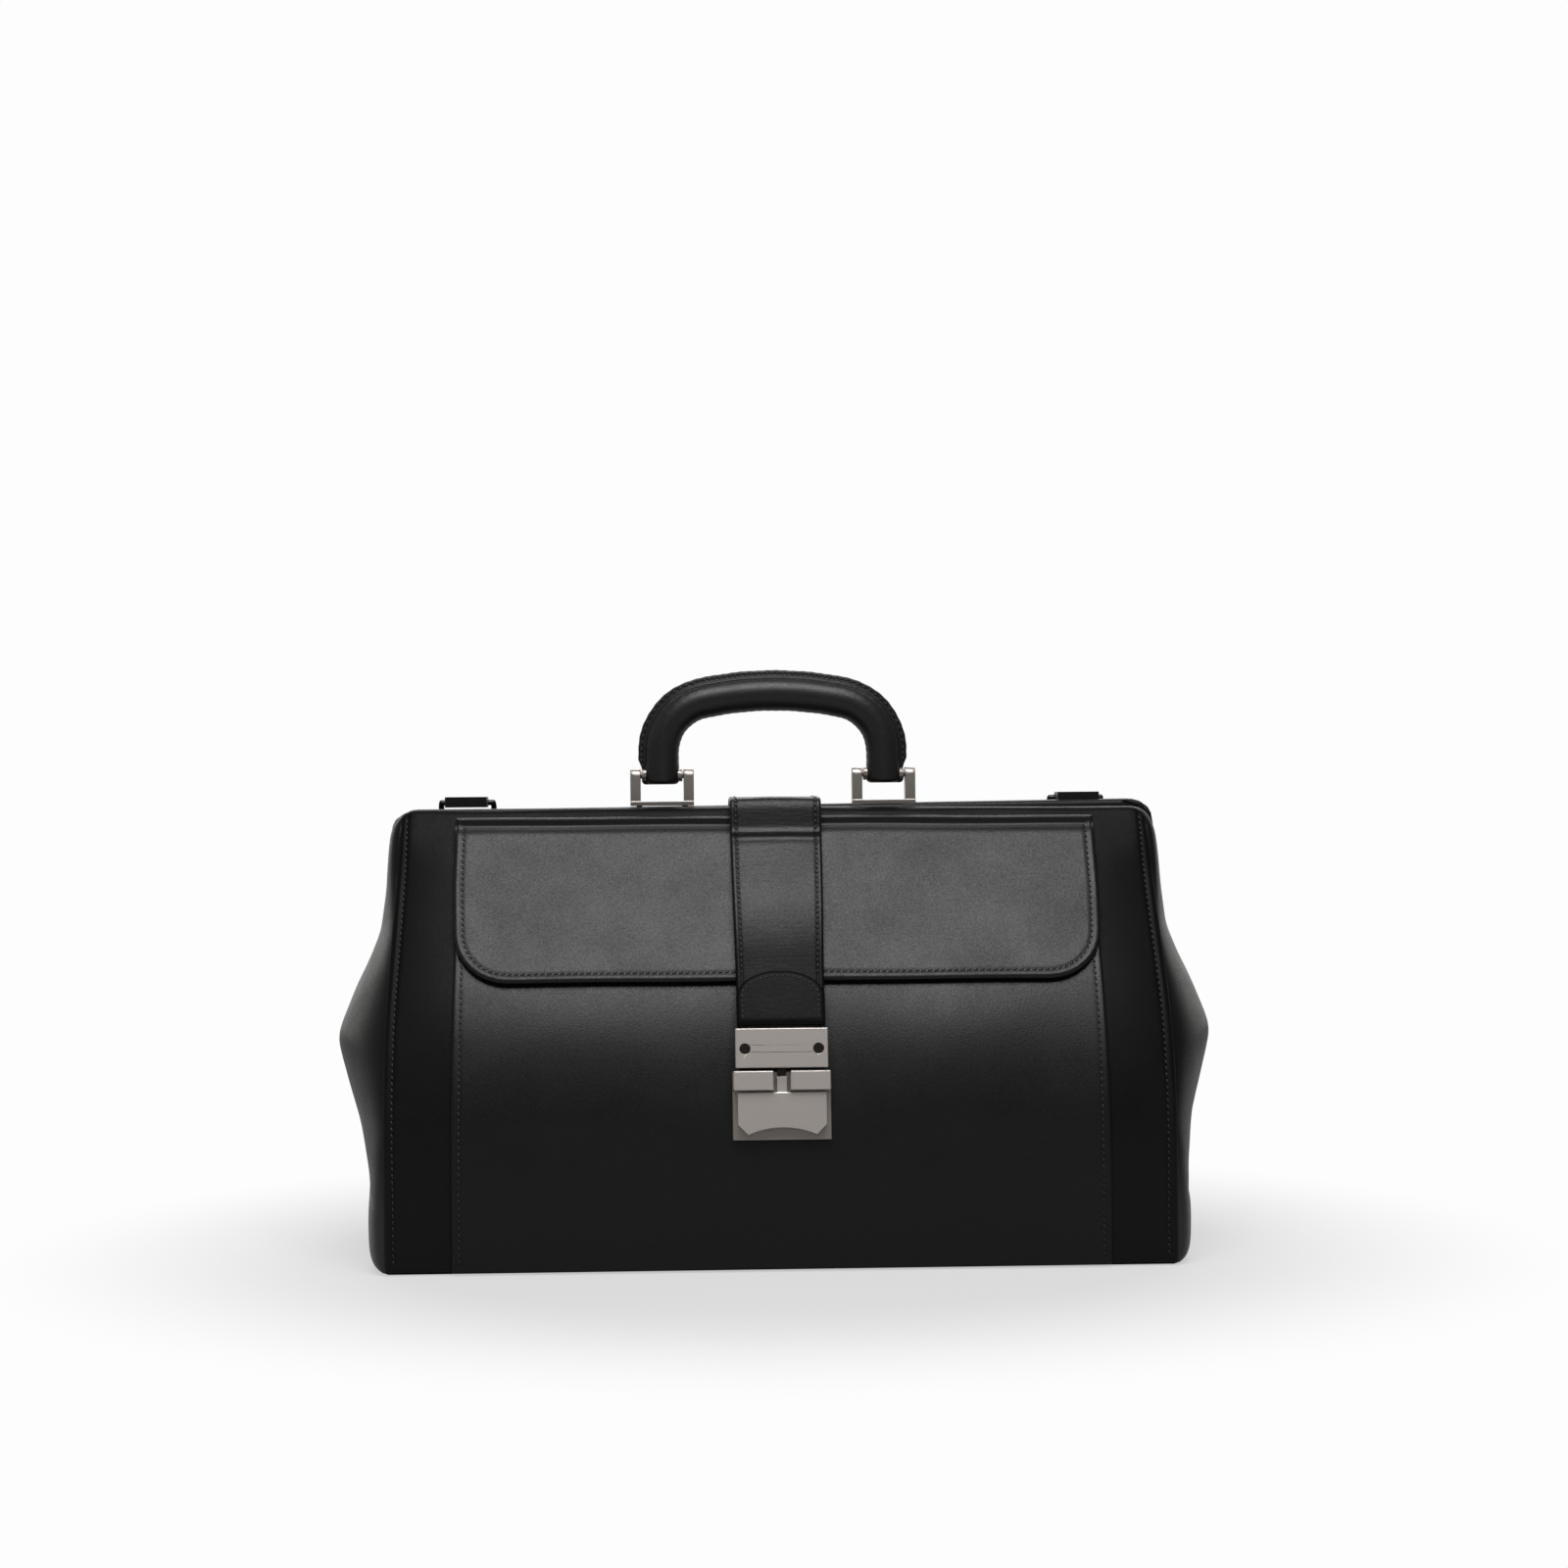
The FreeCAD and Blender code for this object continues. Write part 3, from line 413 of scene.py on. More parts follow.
def stitches(name, centres, slant, length, place, out):
    """A row of saddle stitches: centres are (x, s, heading), each a short capsule turned by slant."""
    around = 6
    ring = np.array([(-0.5, 0.15), (-0.40, 0.75), (0.0, 1.0), (0.40, 0.75), (0.5, 0.15)])
    each = around * len(ring)
    turn = np.tile(np.linspace(0, 2 * math.pi, around, endpoint=False), len(ring))
    run = np.repeat(ring[:, 0] * length, around)
    thick = np.repeat(ring[:, 1] * STITCH_RADIUS, around)
    across, up = thick * np.cos(turn), thick * np.sin(turn)
    centres = np.asarray(centres)
    heading = centres[:, 2:3] + slant
    x = centres[:, :1] + run * np.cos(heading) - across * np.sin(heading)
    s = centres[:, 1:2] + run * np.sin(heading) + across * np.cos(heading)
    points = place(x, s, out + np.broadcast_to(up, x.shape)).reshape(-1, 3)
    k = np.arange(around)
    band = np.stack([k, (k + 1) % around, around + (k + 1) % around, around + k], 1)
    one = np.concatenate([band + r * around for r in range(len(ring) - 1)])
    quads = (one[None] + each * np.arange(len(centres))[:, None, None]).reshape(-1, 4)
    flip = volume(points, quads) < 0
    ends = [list(range(around)), list(range(each - 1, each - around - 1, -1))]
    caps = [[each * n + v for v in end] for n in range(len(centres)) for end in ends]
    caps = [cap[::-1] for cap in caps] if not flip else caps
    quads = quads[:, ::-1] if flip else quads
    return new_object(name, points, quads.tolist() + caps, thread)


def seam_line(points, pitch):
    """Stitch centres (x, s, heading) evenly along a line of (x, s) points."""
    points = np.asarray(points, float)
    run = np.concatenate([[0], np.cumsum(np.hypot(*np.diff(points, axis=0).T))])
    at = np.linspace(pitch / 2, run[-1] - pitch / 2, max(2, round(run[-1] / pitch)))
    x, s = (np.interp(at, run, points[:, k]) for k in (0, 1))
    ahead = [np.interp(at + pitch / 4, run, points[:, k]) for k in (0, 1)]
    behind = [np.interp(at - pitch / 4, run, points[:, k]) for k in (0, 1)]
    return np.stack([x, s, np.arctan2(ahead[1] - behind[1], ahead[0] - behind[0])], 1)


def sewn_rows(lines, pitch):
    """Stitch centres along several lines, in one list."""
    return np.concatenate([seam_line(line, pitch) for line in lines])


def side_lines(make, inset, low, high):
    """The grid's two side edges at an inset, between two distances, as lines of (x, s)."""
    x, s = make(inset)
    keep = (s[:, 0] >= low) & (s[:, 0] <= high)
    return [np.stack([x[keep, k], s[keep, k]], 1) for k in (0, -1)]


FRONT_BLEND = ("body", "front_half", (0, -0.034, 0.160), (0, -0.034, 0.186))
REAR_BLEND = ("body", "rear_half", (0, 0.034, 0.160), (0, 0.034, 0.186))

front_path = rounded_line(np.concatenate([
    wall_corners(TOP), [(-0.0009, TOP), (-0.0009, 0.221)]]), 0.007)
front_top = height_on(front_path, 0.2285)


def front_place(x, s, out):
    """Front hide: swells and hollows, rounded upper corners, and a top edge that dips to the right."""
    z = np.interp(s, front_path[0], front_path[2])
    points = place_on(front_path, x, s, out + (sag(x, z) - side_fall(x, z)) * (s < front_top))
    upper = soft_step(s, front_top - 0.045, front_top - 0.004)
    dip = 0.0006 + 0.0014 * soft_step(x, -0.02, 0.17)
    points[..., 2] -= upper * (0.85 * corner_drop(x, 0.1945, 0.009) + dip)
    return points


def front_width(s):
    """Half width of the front hide: a little wider above the foot and narrower towards the frame."""
    z = np.interp(s, front_path[0], front_path[2])
    return 0.1968 + 0.0008 * soft_step(z, 0.02, 0.09) - 0.0028 * soft_step(z, 0.11, 0.21)


SEWN_EDGE = [(0.0075, 0.0), (0.0056, 0.0), (0.0050, -0.0002), (0.0044, -0.0002), (0.0038, 0.0001),
             (0.0024, 0.0003), (0.0010, 0.0), (0.0001, -0.0007), (0.0, -0.0014), (0.0003, -0.0022)]

front_make = sheet_grid(0.0, front_path[0, -1], front_width, 0.001, 0.001, rows=190, columns=150)
front_skin = sheet_piece("front_skin", front_make, SEWN_EDGE, front_place, wall_leather)
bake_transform(front_skin)
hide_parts("front_wall", "front_cover")

front_seams = side_lines(front_make, SEAM_INSET, 0.008, front_top - 0.002)
front_stitches = stitches("front_skin_stitches", sewn_rows(front_seams, STITCH_PITCH), STITCH_SLANT,
                          STITCH_LENGTH, front_place, 0.0001)
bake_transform(front_stitches)


# -----------------------------------------------------------------------------------------------
# Rear skin: the leather of the rear wall and of the rear half of the frame, sewn as the front's is.
# It is a little wider, its upper corners are rounder, and its top edge rises to the right.
# -----------------------------------------------------------------------------------------------
# Box calf with a low, even sheen, as on the pocket, the flap and the base.
black_leather = leather("black_leather")


REAR_RISE = 0.0085


def rear_place(x, s, out):
    """Rear hide: mirrored front line, round upper corners, and a top edge that rises to the right."""
    z = np.interp(s, front_path[0], front_path[2])
    points = place_on(front_path, x, s, out - side_fall(x, z) * (s < front_top))
    points[..., 1] *= -1
    upper = soft_step(s, front_top - 0.045, front_top - 0.004)
    points[..., 2] += upper * (0.0003 + REAR_RISE * x - 0.9 * corner_drop(x, 0.2004, 0.013))
    return points


def rear_width(s):
    """Half width of the rear hide, wider towards the frame."""
    z = np.interp(s, front_path[0], front_path[2])
    return 0.1978 + 0.0027 * soft_step(z, 0.12, 0.215)


rear_make = sheet_grid(0.0, front_path[0, -1], rear_width, 0.001, 0.001, rows=170, columns=120)
rear_skin = sheet_piece("rear_skin", rear_make, SEWN_EDGE, rear_place, black_leather)
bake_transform(rear_skin)
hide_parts("rear_wall", "rear_cover")
rear_seams = side_lines(rear_make, SEAM_INSET, 0.008, front_top - 0.002)
rear_stitches = stitches("rear_skin_stitches", sewn_rows(rear_seams, STITCH_PITCH), STITCH_SLANT,
                         STITCH_LENGTH, rear_place, -0.0001)
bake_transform(rear_stitches)


# -----------------------------------------------------------------------------------------------
# Gussets: the end walls, each of a front and a rear half joined down its middle fold.
# They bulge most at half height, draw in towards the frame, and lie under the skins' sides.
# -----------------------------------------------------------------------------------------------
# Box calf with its sheen painted by height: duller above, as painted shade, and glossier at the foot, as a
# painted reflection.
gusset_leather = leather("black_gusset_leather", specular=0.17, painted_sheen_by_height=(0.025, 0.075, 0.62))
# Napped cotton cloth, nearly without shine.
lining_cloth = plain("black_lining_cloth", "1b1a1c", 0.95, specular=0.2, grain=1.0)

# Heights and the reach of the middle fold from the bag's centre.
GUSSET_REACH = [
    (0.0004, 0.1995), (0.0018, 0.2040), (0.0045, 0.2066), (0.0100, 0.2080), (0.0220, 0.2084),
    (0.0360, 0.2084), (0.0480, 0.2095), (0.0660, 0.2156), (0.0875, 0.2222), (0.1040, 0.2268),
    (0.1115, 0.2282), (0.1190, 0.2262), (0.1380, 0.2184), (0.1520, 0.2115), (0.1660, 0.2058),
    (0.1880, 0.2022), (0.2100, 0.2008), (0.2185, 0.1998), (0.2245, 0.1974), (0.2280, 0.1920),
    (0.2293, 0.1860)]
SEAM_AT = 0.19


def gusset_grid(side, depth_side, inset=0.0):
    """Points of half a gusset: heights along one way, seam to middle fold along the other.

    In plan the wall runs x = seam + (reach - seam) sin(a)^(2/p), y = depth cos(a)^(2/p).
    """
    z_known, x_known = np.array(GUSSET_REACH).T
    run = np.concatenate([[0], np.cumsum(np.hypot(np.diff(z_known), np.diff(x_known)))])
    even = np.linspace(0, run[-1], 130)
    z, reach = np.interp(even, run, z_known), np.interp(even, run, x_known)
    kernel = np.ones(5) / 5
    z = np.concatenate([z[:2], np.convolve(z, kernel, "valid"), z[-2:]])
    reach = np.concatenate([reach[:2], np.convolve(reach, kernel, "valid"), reach[-2:]])
    last = int(np.argmax(front_path[2]))
    s = np.interp(z, front_path[2, :last], front_path[0, :last])
    depth = -np.interp(s, front_path[0], front_path[1]) - 0.0016 - inset - side_fall(0.1965, z)
    width = (front_width(s) if depth_side < 0 else rear_width(s)) - 0.0024
    seam = np.minimum(width, reach - 0.0005) - inset
    reach = reach - inset
    power = 3.6 - 2.0 * soft_step(z, 0.020, 0.075) + 1.0 * soft_step(z, 0.165, 0.205)
    top = soft_step(z, 0.185, 0.226)
    if depth_side < 0:
        z = z - top * (0.0008 + 0.0014 * soft_step(side * SEAM_AT, -0.02, 0.17))
        depth = depth - 0.0012 * top
    else:
        z = z + top * (REAR_RISE * side * SEAM_AT)
    fold = 0.0030 * soft_step(z, 0.018, 0.10) * (1 - soft_step(z, 0.15, 0.21))
    angle = np.linspace(0, math.pi / 2, 46)[None]
    x = seam[:, None] + (reach - seam)[:, None] * np.sin(angle) ** (2 / power[:, None])
    y = depth[:, None] * np.cos(angle) ** (2 / power[:, None]) + 0.0003
    crease = np.exp(-(((y / depth[:, None] - 0.52 + 0.9 * (z[:, None] - 0.05) / 0.05) / 0.10) ** 2))
    low_part = soft_step(z, 0.03, 0.042) * (1 - soft_step(z, 0.06, 0.085))
    x = x - 0.0022 * crease * low_part[:, None] - fold[:, None] * 0.25 * np.sin(angle * 2) ** 2
    return np.stack([side * x, depth_side * y, np.repeat(z[:, None], x.shape[1], 1)], -1)


def shell(name, outer, inner, material):
    """A closed skin between two grids of the same size."""
    rows, columns = outer.shape[:2]
    numbers = np.arange(rows * columns).reshape(rows, columns)
    points = np.concatenate([outer.reshape(-1, 3), inner.reshape(-1, 3)])
    a = rim(numbers)
    b = a + rows * columns
    edge = np.stack([np.roll(a, -1), a, b, np.roll(b, -1)], 1)
    back = grid_faces(rows, columns, rows * columns)[:, ::-1]
    faces = np.concatenate([grid_faces(rows, columns), back, edge])
    if volume(points, faces) < 0:
        faces = faces[:, ::-1]
    return new_object(name, points, faces, material)


for side, side_name in ((1, "right"), (-1, "left")):
    for depth_side, depth_name, ends in ((-1, "front", FRONT_BLEND), (1, "rear", REAR_BLEND)):
        half = shell(f"gusset_{side_name}_{depth_name}", gusset_grid(side, depth_side),
                     gusset_grid(side, depth_side, 0.0012), gusset_leather)
        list(ends)
        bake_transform(half)
        inside = shell(f"gusset_lining_{side_name}_{depth_name}", gusset_grid(side, depth_side, 0.0014),
                       gusset_grid(side, depth_side, 0.0019), lining_cloth)
        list(ends)
        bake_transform(inside)
        if depth_side < 0:
            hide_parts("gusset_" + side_name)


# -----------------------------------------------------------------------------------------------
# Base: the leather panel that the bag stands on, inside the foot of the walls and the gussets.
# Its edge is eased up by under a millimetre, and it belongs to the lower body.
# -----------------------------------------------------------------------------------------------
base_across, base_along = np.linspace(-1, 1, 60), np.linspace(-1, 1, 40)
base_half_widths = 0.2030 - 0.012 * np.abs(base_along) ** 9
base_x = base_half_widths[:, None] * base_across[None]
base_y = np.repeat(0.0895 * base_along[:, None], len(base_across), 1)
lip = 0.0004 + 0.0008 * (np.abs(base_across[None]) ** 40 + np.abs(base_along[:, None]) ** 30)
base = shell("base_leather", np.stack([base_x, base_y, lip], -1),
             np.stack([base_x, base_y, np.full_like(base_x, 0.0028)], -1), black_leather)
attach(base, "body")
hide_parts("base_panel")


# -----------------------------------------------------------------------------------------------
# Lining: dark napped cloth, one sheet glued inside each wall and up to the frame's bars.
# Each sheet follows its wall's line.
# -----------------------------------------------------------------------------------------------
lining_path = rounded_line(wall_corners(0.2165, turn=0), 0.006)
for facing, depth_name, ends in ((1, "front", FRONT_BLEND), (-1, "rear", REAR_BLEND)):
    def lining_place(x, s, out, turned=facing):
        """Points on the front wall's inside, mirrored for the rear wall."""
        z = np.interp(s, lining_path[0], lining_path[2])
        points = place_on(lining_path, x, s, out - side_fall(x, z))
        points[..., 1] *= turned
        return points

    make = sheet_grid(0.0, lining_path[0, -1], lambda s: 0.1915 + 0 * s, 0.001, 0.001, rows=70, columns=40)
    sheet = sheet_piece(f"lining_{depth_name}", make, [(0.0, -0.0031), (0.0, -0.0035)], lining_place,
                        lining_cloth)
    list(ends)
    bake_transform(sheet)
    if facing > 0:
        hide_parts("wall_lining")


# -----------------------------------------------------------------------------------------------
# Pocket: a leather panel over the front wall, down to its foot and sewn on along both sides.
# Its mouth is open under the flap, and its edges are painted and slightly raised.
# -----------------------------------------------------------------------------------------------
pocket_path = rounded_line(wall_corners(0.1705, low=0.0012, turn=0), 0.004)


def pocket_place(x, s, out):
    """Pocket: the front wall's line with the same swells and hollows as the skin under it."""
    z = np.interp(s, pocket_path[0], pocket_path[2])
    return place_on(pocket_path, x, s, out + sag(x, z))


POCKET_EDGE = [(0.0065, 0.0023), (0.0048, 0.0023), (0.0043, 0.0022), (0.0037, 0.0022), (0.0031, 0.0023),
               (0.0015, 0.0026), (0.0005, 0.0022), (0.0, 0.0014), (0.0001, 0.0006), (0.0006, 0.0003)]
pocket_make = sheet_grid(0.0, pocket_path[0, -1], lambda s: 0.1635 + 0 * s, 0.001, 0.004, rows=130,
                         columns=130)
pocket = sheet_piece("pocket_panel", pocket_make, POCKET_EDGE, pocket_place, black_leather)
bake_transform(pocket)
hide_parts("pocket_front")
pocket_seams = side_lines(pocket_make, 0.0040, 0.004, 0.165)
pocket_stitches = stitches("pocket_stitches", sewn_rows(pocket_seams, STITCH_PITCH), STITCH_SLANT, 0.0024,
                           pocket_place, 0.0023)
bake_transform(pocket_stitches)


# -----------------------------------------------------------------------------------------------
# Flap: thick leather over the pocket's mouth, hinged under its upper edge, with a raised edge.
# A bead runs along its top, and a stitched groove 4.6 mm inside its sides and bottom.
# -----------------------------------------------------------------------------------------------
flap_path = rounded_line(wall_corners(0.2222, low=0.100, turn=0)[-28:], 0.003)
flap_low = height_on(flap_path, 0.1398)
flap_high = flap_path[0, -1]


def flap_place(x, s, out):
    """Flap: follows the front's swells, with a bead and a valley along its hinge and a dip with the frame."""
    z = np.interp(s, flap_path[0], flap_path[2])
    back = flap_high - s
    bead = 0.0007 * np.exp(-(((back - 0.0012) / 0.0013) ** 2))
    valley = -0.0012 * np.exp(-(((back - 0.0055) / 0.0034) ** 2))
    lift = 0.0006 * (1 - soft_step(s, flap_low, flap_low + 0.02))
    face = out > 0.0045
    points = place_on(flap_path, x, s, out + sag(x, z) + lift + (bead + valley) * face)
    points[..., 2] -= 0.0010 * soft_step(x, -0.02, 0.17) * soft_step(z, 0.12, 0.21)
    return points


FLAP_EDGE = [(0.0070, 0.0056), (0.0056, 0.0056), (0.0050, 0.0054), (0.0042, 0.0054), (0.0035, 0.0056),
             (0.0022, 0.0059), (0.0012, 0.0057), (0.0004, 0.0052), (0.0, 0.0045), (0.0001, 0.0038),
             (0.0006, 0.0032), (0.0016, 0.0030)]


def flap_width(s):
    """Half width of the flap, 2 mm more above than at its lower edge."""
    return 0.1628 + 0.0020 * soft_step(s, flap_low, flap_low + 0.060)


flap_make = sheet_grid(flap_low, flap_high, flap_width, 0.027, 0.0015, rows=110, columns=150)
flap = sheet_piece("pocket_flap_leather", flap_make, FLAP_EDGE, flap_place, black_leather)
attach(flap, "flap")
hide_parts("pocket_flap")
FLAP_SEAM = 0.0046
flap_left, flap_right = side_lines(flap_make, FLAP_SEAM, flap_low, flap_high - 0.004)
bottom_x, bottom_s = flap_make(FLAP_SEAM)
flap_seam = np.concatenate([flap_left[::-1], np.stack([bottom_x[0], bottom_s[0]], 1), flap_right])
flap_stitches = stitches("pocket_flap_stitches", seam_line(flap_seam, STITCH_PITCH), STITCH_SLANT, 0.0024,
                         flap_place, 0.0055)
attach(flap_stitches, "flap")


# -----------------------------------------------------------------------------------------------
# Strap: from its seam on the rear half, over the mouth and down the flap to the lock's upper plate.
# It bows off the flap by a few millimetres, and an arched patch is sewn over its lower end.
# -----------------------------------------------------------------------------------------------
# The calf is creased across; its sheen is painted by height, kept above and cut near the lock as painted
# shade.
strap_leather = leather("black_strap_leather", wrinkles=1.4, painted_sheen_by_height=(0.145, 0.195, 0.07))
# The patch is the same creased calf with almost no sheen.
patch_leather = leather("black_patch_leather", specular=0.05, wrinkles=1.4)

LOCK_HEIGHT = 0.0815


def lock_plane(up, out):
    """Point (y, z) at distances up and out from the plane that touches the wall at the lock's height."""
    lean = math.asin((LOCK_HEIGHT - UPRIGHT_TO) / BEND_RADIUS)
    y = BEND_RADIUS - HALF_DEPTH - BEND_RADIUS * math.cos(lean)
    return (y + up * math.sin(lean) - out * math.cos(lean),
            LOCK_HEIGHT + up * math.cos(lean) + out * math.sin(lean))


wall_line = rounded_line(wall_corners(0.229, low=0.02, turn=0), 0.004)


def off_wall(z, out):
    """Point (y, z) at height z on the front wall's outside, and out from it."""
    return tuple(place_on(wall_line, 0.0, height_on(wall_line, z), out)[1:])


strap_corners = [lock_plane(0.0190, 0.0094), lock_plane(0.0400, 0.0094)]
for z in np.linspace(0.1445, 0.211, 12):
    strap_corners.append(off_wall(z, 0.0099 + 0.0040 * math.sin(math.pi * (z - 0.118) / 0.101) ** 2))
strap_corners += [(-0.0318, 0.2318), (-0.0288, 0.2347), (0.0130, 0.2343)]
rear_run = [off_wall(z, 0.0040) for z in (0.226, 0.2075, 0.1900)]
strap_corners += [(-y, z) for y, z in rear_run]
strap_path = rounded_line(strap_corners, 0.008)
strap_peak = float(np.interp(0.0, strap_path[1], strap_path[0]))
crease_s = float(strap_path[0, int(np.argmin(np.abs(strap_path[2] - 0.2165)))])


def strap_width(s):
    """Half width of the strap, 2 mm less at the lock."""
    return 0.0216 + 0.0020 * soft_step(s, 0.0, 0.15)


def strap_place(x, s, out):
    """Strap: a ridge and a furrow across it high on its front, and edges that curl down from x = 0."""
    ridge = 0.0007 * np.exp(-(((s - crease_s) / 0.0012) ** 2))
    furrow = 0.0005 * np.exp(-(((s - crease_s + 0.0035) / 0.002) ** 2))
    crease = ridge - furrow
    bow = -0.0007 * (x / 0.0225) ** 2
    return place_on(strap_path, x, s, out + (crease + bow) * soft_step(-s, -strap_peak, -strap_peak + 0.02))


STRAP_EDGE = [(0.0050, 0.0), (0.0039, 0.0), (0.0034, -0.0002), (0.0028, -0.0002), (0.0023, 0.0),
              (0.0014, 0.0003), (0.0006, 0.0), (0.0001, -0.0007), (0.0, -0.0016), (0.0002, -0.0026),
              (0.0008, -0.0032), (0.0016, -0.0034)]
strap_make = sheet_grid(0.0, strap_path[0, -1], strap_width, 0.002, 0.006, rows=220, columns=34)
strap = sheet_piece("lock_strap", strap_make, STRAP_EDGE, strap_place, strap_leather)
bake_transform(strap)
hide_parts("strap_front", "strap_rear")
strap_seams = side_lines(strap_make, 0.0031, 0.048, strap_path[0, -1] - 0.004)
end_x, end_s = strap_make(0.0031)
end_seam = np.stack([end_x[-1], end_s[-1]], 1)
strap_stitches = stitches("lock_strap_stitches", sewn_rows(strap_seams + [end_seam], 0.0030), STITCH_SLANT,
                          0.0022, strap_place, 0.0)
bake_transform(strap_stitches)

patch_low, patch_full, patch_high = 0.0202, 0.0355, 0.0495


def patch_place(x, s, out):
    """Patch: lies on the strap's face, a tenth of a millimetre clear."""
    return strap_place(x, s, out + 0.0001)


PATCH_EDGE = [(0.0030, 0.0013), (0.0018, 0.0012), (0.0009, 0.0010), (0.0002, 0.0004), (0.0, 0.0)]


def patch_grid(inset):
    """A grid (x, s) over the patch: full width low down, then half an ellipse for the arch."""
    s = patch_low + inset + (patch_high - inset - patch_low - inset) * np.sin(np.linspace(0, math.pi / 2, 50))
    t = np.clip((s - patch_full) / (patch_high - inset - patch_full), 0, 1)
    width = (strap_width(s) + 0.0002 - inset) * np.sqrt(1 - 0.96 * t * t)
    return width[:, None] * np.linspace(-1, 1, 40), np.repeat(s[:, None], 40, 1)


patch = sheet_piece("lock_strap_patch", patch_grid, PATCH_EDGE, patch_place, patch_leather)
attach(patch, "strap")
arch_x, arch_s = patch_grid(0.0030)
arch = np.concatenate([np.stack([arch_x[:, 0], arch_s[:, 0]], 1), np.stack([arch_x[-1], arch_s[-1]], 1),
                       np.stack([arch_x[::-1, -1], arch_s[::-1, -1]], 1)])
patch_stitches = stitches("lock_strap_patch_stitches", seam_line(arch, 0.0028), math.radians(12), 0.0020,
                          patch_place, 0.0011)
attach(patch_stitches, "strap")


# -----------------------------------------------------------------------------------------------
# Handle: leather rolled round a cord core, its edges sewn into a fin along the outside of the arch.
# The leg ends are rounded over and turn on pins through the metal stirrups.
# -----------------------------------------------------------------------------------------------
# Box calf a shade browner and glossier than the hides, from the hand.
grip_leather = leather("black_grip_leather", colour="131111", specular=0.38)

stirrup_low, stirrup_high = (np.array(corner, float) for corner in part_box("handle_bracket_right"))
LEG_X, HANDLE_Y = (round(float(middle), 5) for middle in (stirrup_low + stirrup_high)[:2] / 2)
TUBE_RADIUS, CORNER_R, CORNER_Z, foot_z = 0.0090, 0.027, 0.2584, 0.2413
FLAT_HALF = math.radians(12.0)
corner_x = LEG_X - CORNER_R
crown_r = (corner_x + CORNER_R * math.sin(FLAT_HALF)) / math.sin(FLAT_HALF)
crown_z = CORNER_Z + (CORNER_R - crown_r) * math.cos(FLAT_HALF)
leg_line = np.stack([np.full(24, LEG_X), np.linspace(foot_z, CORNER_Z, 24)], 1)[:-1]
turns = np.linspace(0, math.pi / 2 - FLAT_HALF, 40)
corner_line = np.stack([corner_x + CORNER_R * np.cos(turns), CORNER_Z + CORNER_R * np.sin(turns)], 1)[:-1]
crowns = np.linspace(FLAT_HALF, 0, 30)
crown_line = np.stack([crown_r * np.sin(crowns), crown_z + crown_r * np.cos(crowns)], 1)
half_line = np.concatenate([leg_line, corner_line, crown_line])
arch_line = rounded_line(np.concatenate([half_line, half_line[-2::-1] * [-1, 1]])[:, [0, 1]], 0.006, 0.0006)
arch_length = arch_line[0, -1]


def handle_section():
    """The tube with its fin, (outward, towards the back) in metres, half of it then its mirror."""
    fin = [(0.0125, 0.0), (0.0124, 0.0008), (0.0119, 0.00135), (0.0113, 0.0015), (0.0108, 0.0012),
           (0.0103, 0.0013), (0.0097, 0.0016), (0.0089, 0.0016), (0.0084, 0.0019), (0.0083, 0.0026)]
    angle = np.radians(np.linspace(22, 180, 26))
    tube = np.stack([TUBE_RADIUS * np.cos(angle), TUBE_RADIUS * np.sin(angle)], 1)
    half = np.concatenate([fin, tube])
    return np.concatenate([half, half[-2:0:-1] * [1, -1]])


section = handle_section()
FIN_ROOT = 0.0084


def handle_place(reach, depth, s):
    """Points of the handle's section at s along its arch; the fin draws in beside the stirrups."""
    x, z, nx, nz = (np.interp(s, arch_line[0], row) for row in arch_line[1:])
    near_foot = np.minimum(s, arch_length - s)
    fin = 0.55 + 0.45 * soft_step(near_foot, 0.0085, 0.0135)
    reach = np.where(reach > FIN_ROOT, FIN_ROOT + (reach - FIN_ROOT) * fin, reach)
    ripple = 0.00012 * np.sin(s * 900 + 40 * depth) * np.sin(s * 530 + 1.7)
    reach = reach + ripple * (reach / TUBE_RADIUS)
    return np.stack([x - nx * reach, HANDLE_Y + depth, z - nz * reach], -1)


ends_s = np.array([0.0, 0.00025, 0.0008, 0.0016, 0.0026])
ends_size = np.array([0.72, 0.84, 0.93, 0.985, 1.0])
run_s = np.concatenate([ends_s, np.linspace(0.0036, arch_length - 0.0036, 260), arch_length - ends_s[::-1]])
run_size = np.concatenate([ends_size, np.ones(260), ends_size[::-1]])
reach = run_size[:, None] * section[None, :, 0]
depth = run_size[:, None] * section[None, :, 1]
tube_points = handle_place(reach, depth, np.repeat(run_s[:, None], len(section), 1))
tube_rows, tube_columns = tube_points.shape[:2]
numbers = np.arange(tube_rows * tube_columns).reshape(tube_rows, tube_columns)
around = np.roll(numbers, -1, axis=1)
tube_faces = np.stack([numbers[:-1], around[:-1], around[1:], numbers[1:]], -1).reshape(-1, 4)
flipped = volume(tube_points.reshape(-1, 3), tube_faces) < 0
caps = [numbers[0].tolist(), numbers[-1, ::-1].tolist()]
tube_faces = tube_faces[:, ::-1] if flipped else tube_faces
caps = caps if flipped else [cap[::-1] for cap in caps]
grip = new_object("handle_roll", tube_points.reshape(-1, 3), tube_faces.tolist() + caps, grip_leather)
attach(grip, "handle")
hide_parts("handle_grip", "handle_core")


def fin_place(front):
    """A place function for the stitches on one face of the fin: x is the reach, out the depth."""
    def place(x, s, out):
        return handle_place(x, front * out, s)

    return place


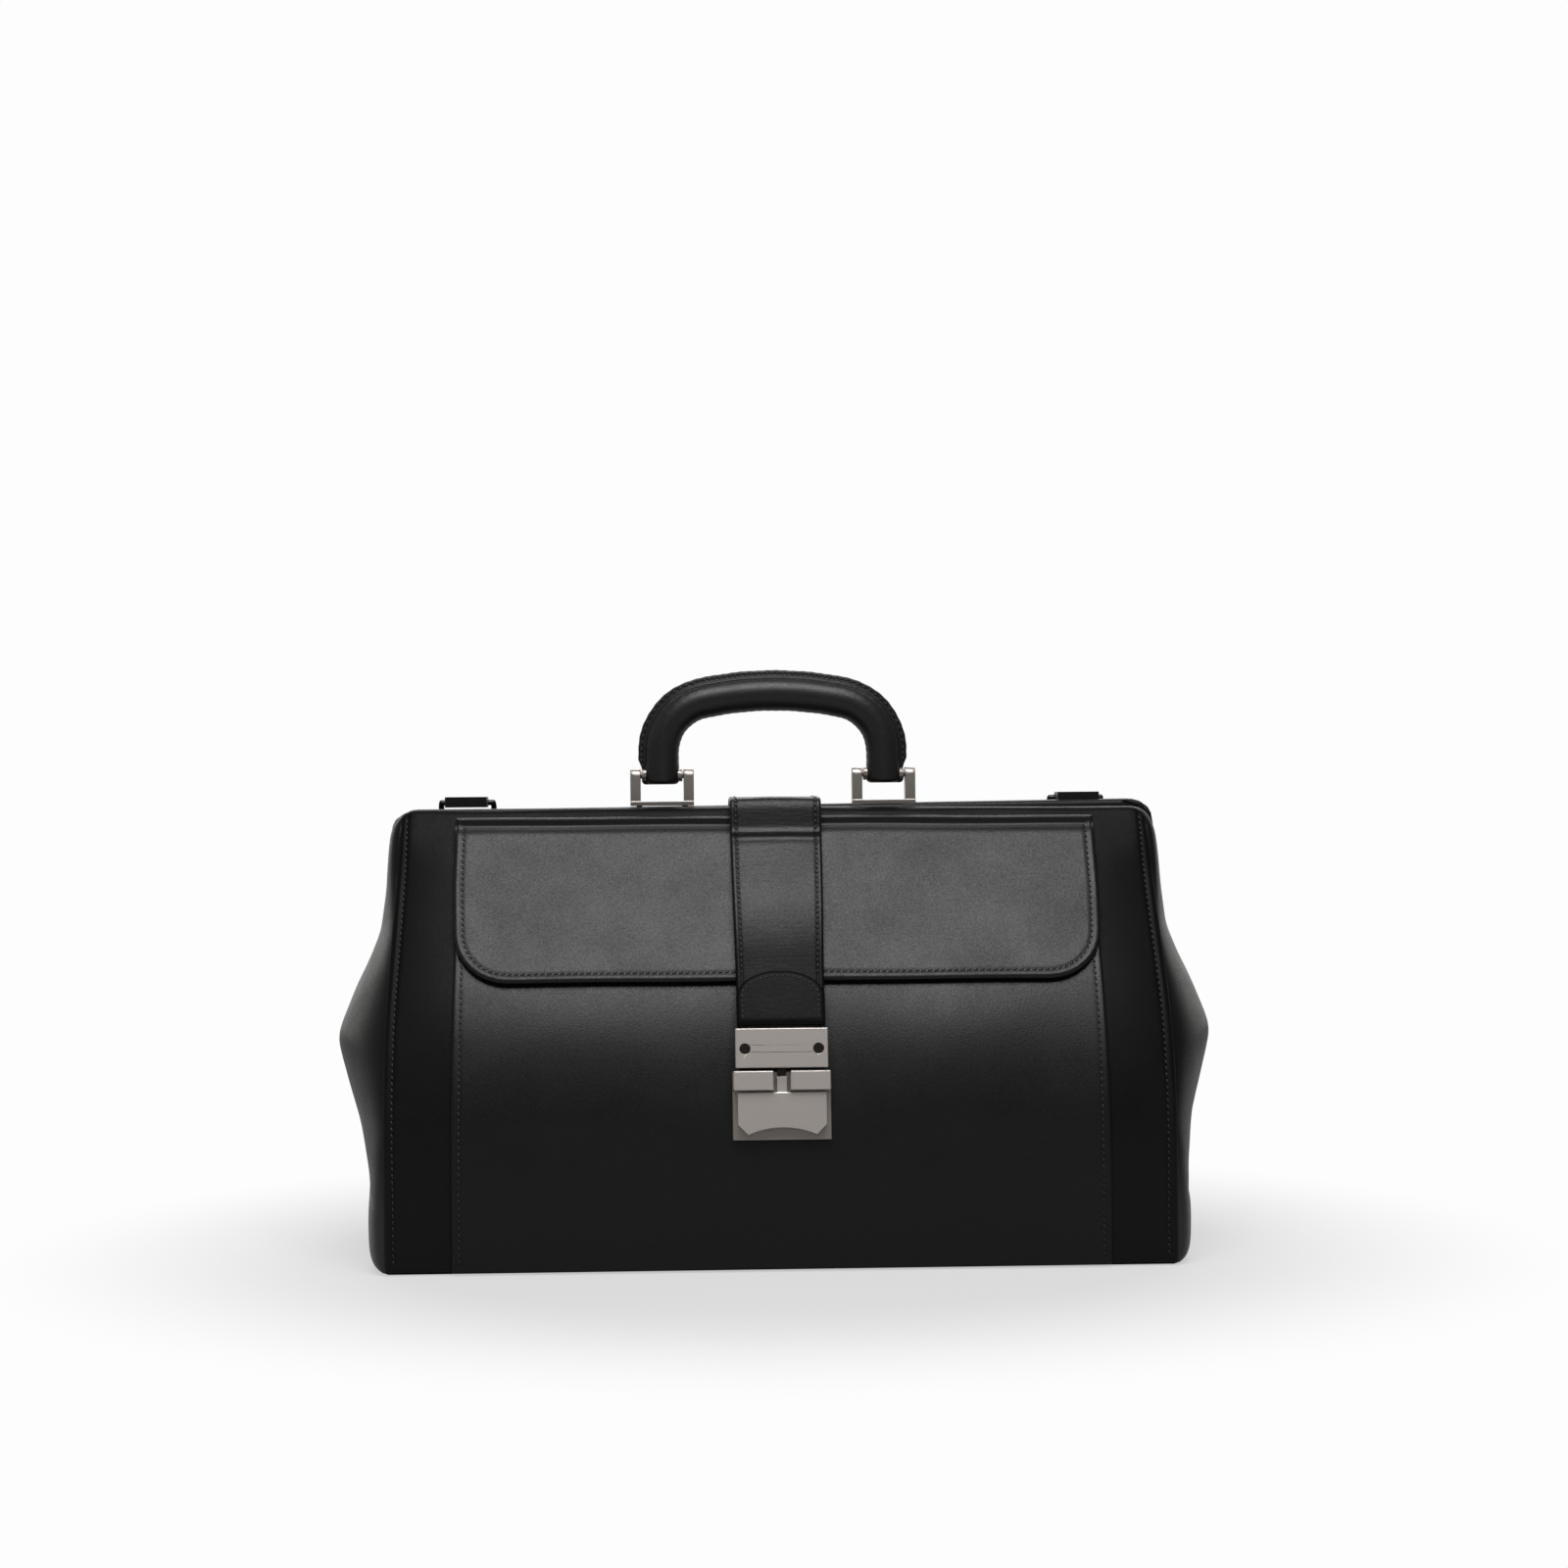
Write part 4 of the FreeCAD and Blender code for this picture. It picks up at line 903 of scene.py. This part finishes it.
fin_row = seam_line(np.stack([np.full(200, 0.0107), np.linspace(0.006, arch_length - 0.006, 200)], 1), 0.0026)
for front, face_name in ((-1, "front"), (1, "rear")):
    row = stitches(f"handle_stitches_{face_name}", fin_row, math.radians(14), 0.0020, fin_place(front),
                   0.0013)
    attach(row, "handle")


# -----------------------------------------------------------------------------------------------
# Metal: satin-plated lock, hasp and stirrups, wire D-rings, and the frame's steel bars, as in the CAD.
# The D-rings' loops and the flap's hinge strip are leather, and the bottom board is in lining cloth.
# -----------------------------------------------------------------------------------------------
# Warm grey satin plating with a broad highlight.
gunmetal = plain("satin_gunmetal", "cdc6c1", 0.40, metallic=1.0, grain=0.15)
# The same plating, given a darker colour as painted shade on the parts that stand behind or below.
painted_shade_gunmetal = plain("painted_shade_gunmetal", "a09a95", 0.38, metallic=1.0, grain=0.15)
# Nearly black plating, smoother, on wire and screws.
black_nickel = plain("black_nickel", "3a3735", 0.34, metallic=1.0)
# Bare rolled steel, neutral grey.
plain_steel = plain("plain_steel", "9a9896", 0.38, metallic=1.0)


def finish_node(name, material, width=0.0003, segments=2):
    """A CAD node's material and slot, and its edges broken with a bevel of the given width."""
    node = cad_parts[name]
    node.data.materials.clear()
    node.data.materials.append(material)
    weld = node.modifiers.new("weld", "WELD")
    weld.merge_threshold = 0.00002
    bevel = node.modifiers.new("bevel", "BEVEL")
    bevel.width, bevel.segments, bevel.limit_method = width, segments, "ANGLE"
    bevel.angle_limit = math.radians(35)
    bevel.harden_normals = True


for node_name in ("lock_blocks", "lock_slide", "hasp_plate"):
    finish_node(node_name, gunmetal)
# The lock's plate, rivets, stirrups, pins and eyelets take the plating darkened as painted shade.
for node_name in ("lock_plate", "lock_rivets", "handle_bracket_right", "handle_bracket_left",
                  "handle_pins", "handle_eyelets"):
    finish_node(node_name, painted_shade_gunmetal)
for node_name in ("hasp_screws", "hasp_back_plate", "ring_right", "ring_left"):
    finish_node(node_name, black_nickel, 0.0002)
for node_name in ("front_mouth_bar", "rear_mouth_bar", "mouth_hinge_pins", "bracket_screws", "lock_anchor"):
    finish_node(node_name, plain_steel)
for node_name in ("anchor_loop_right", "anchor_loop_left", "flap_hinge_strip"):
    finish_node(node_name, black_leather, 0.0008, 3)
finish_node("base_board", lining_cloth)
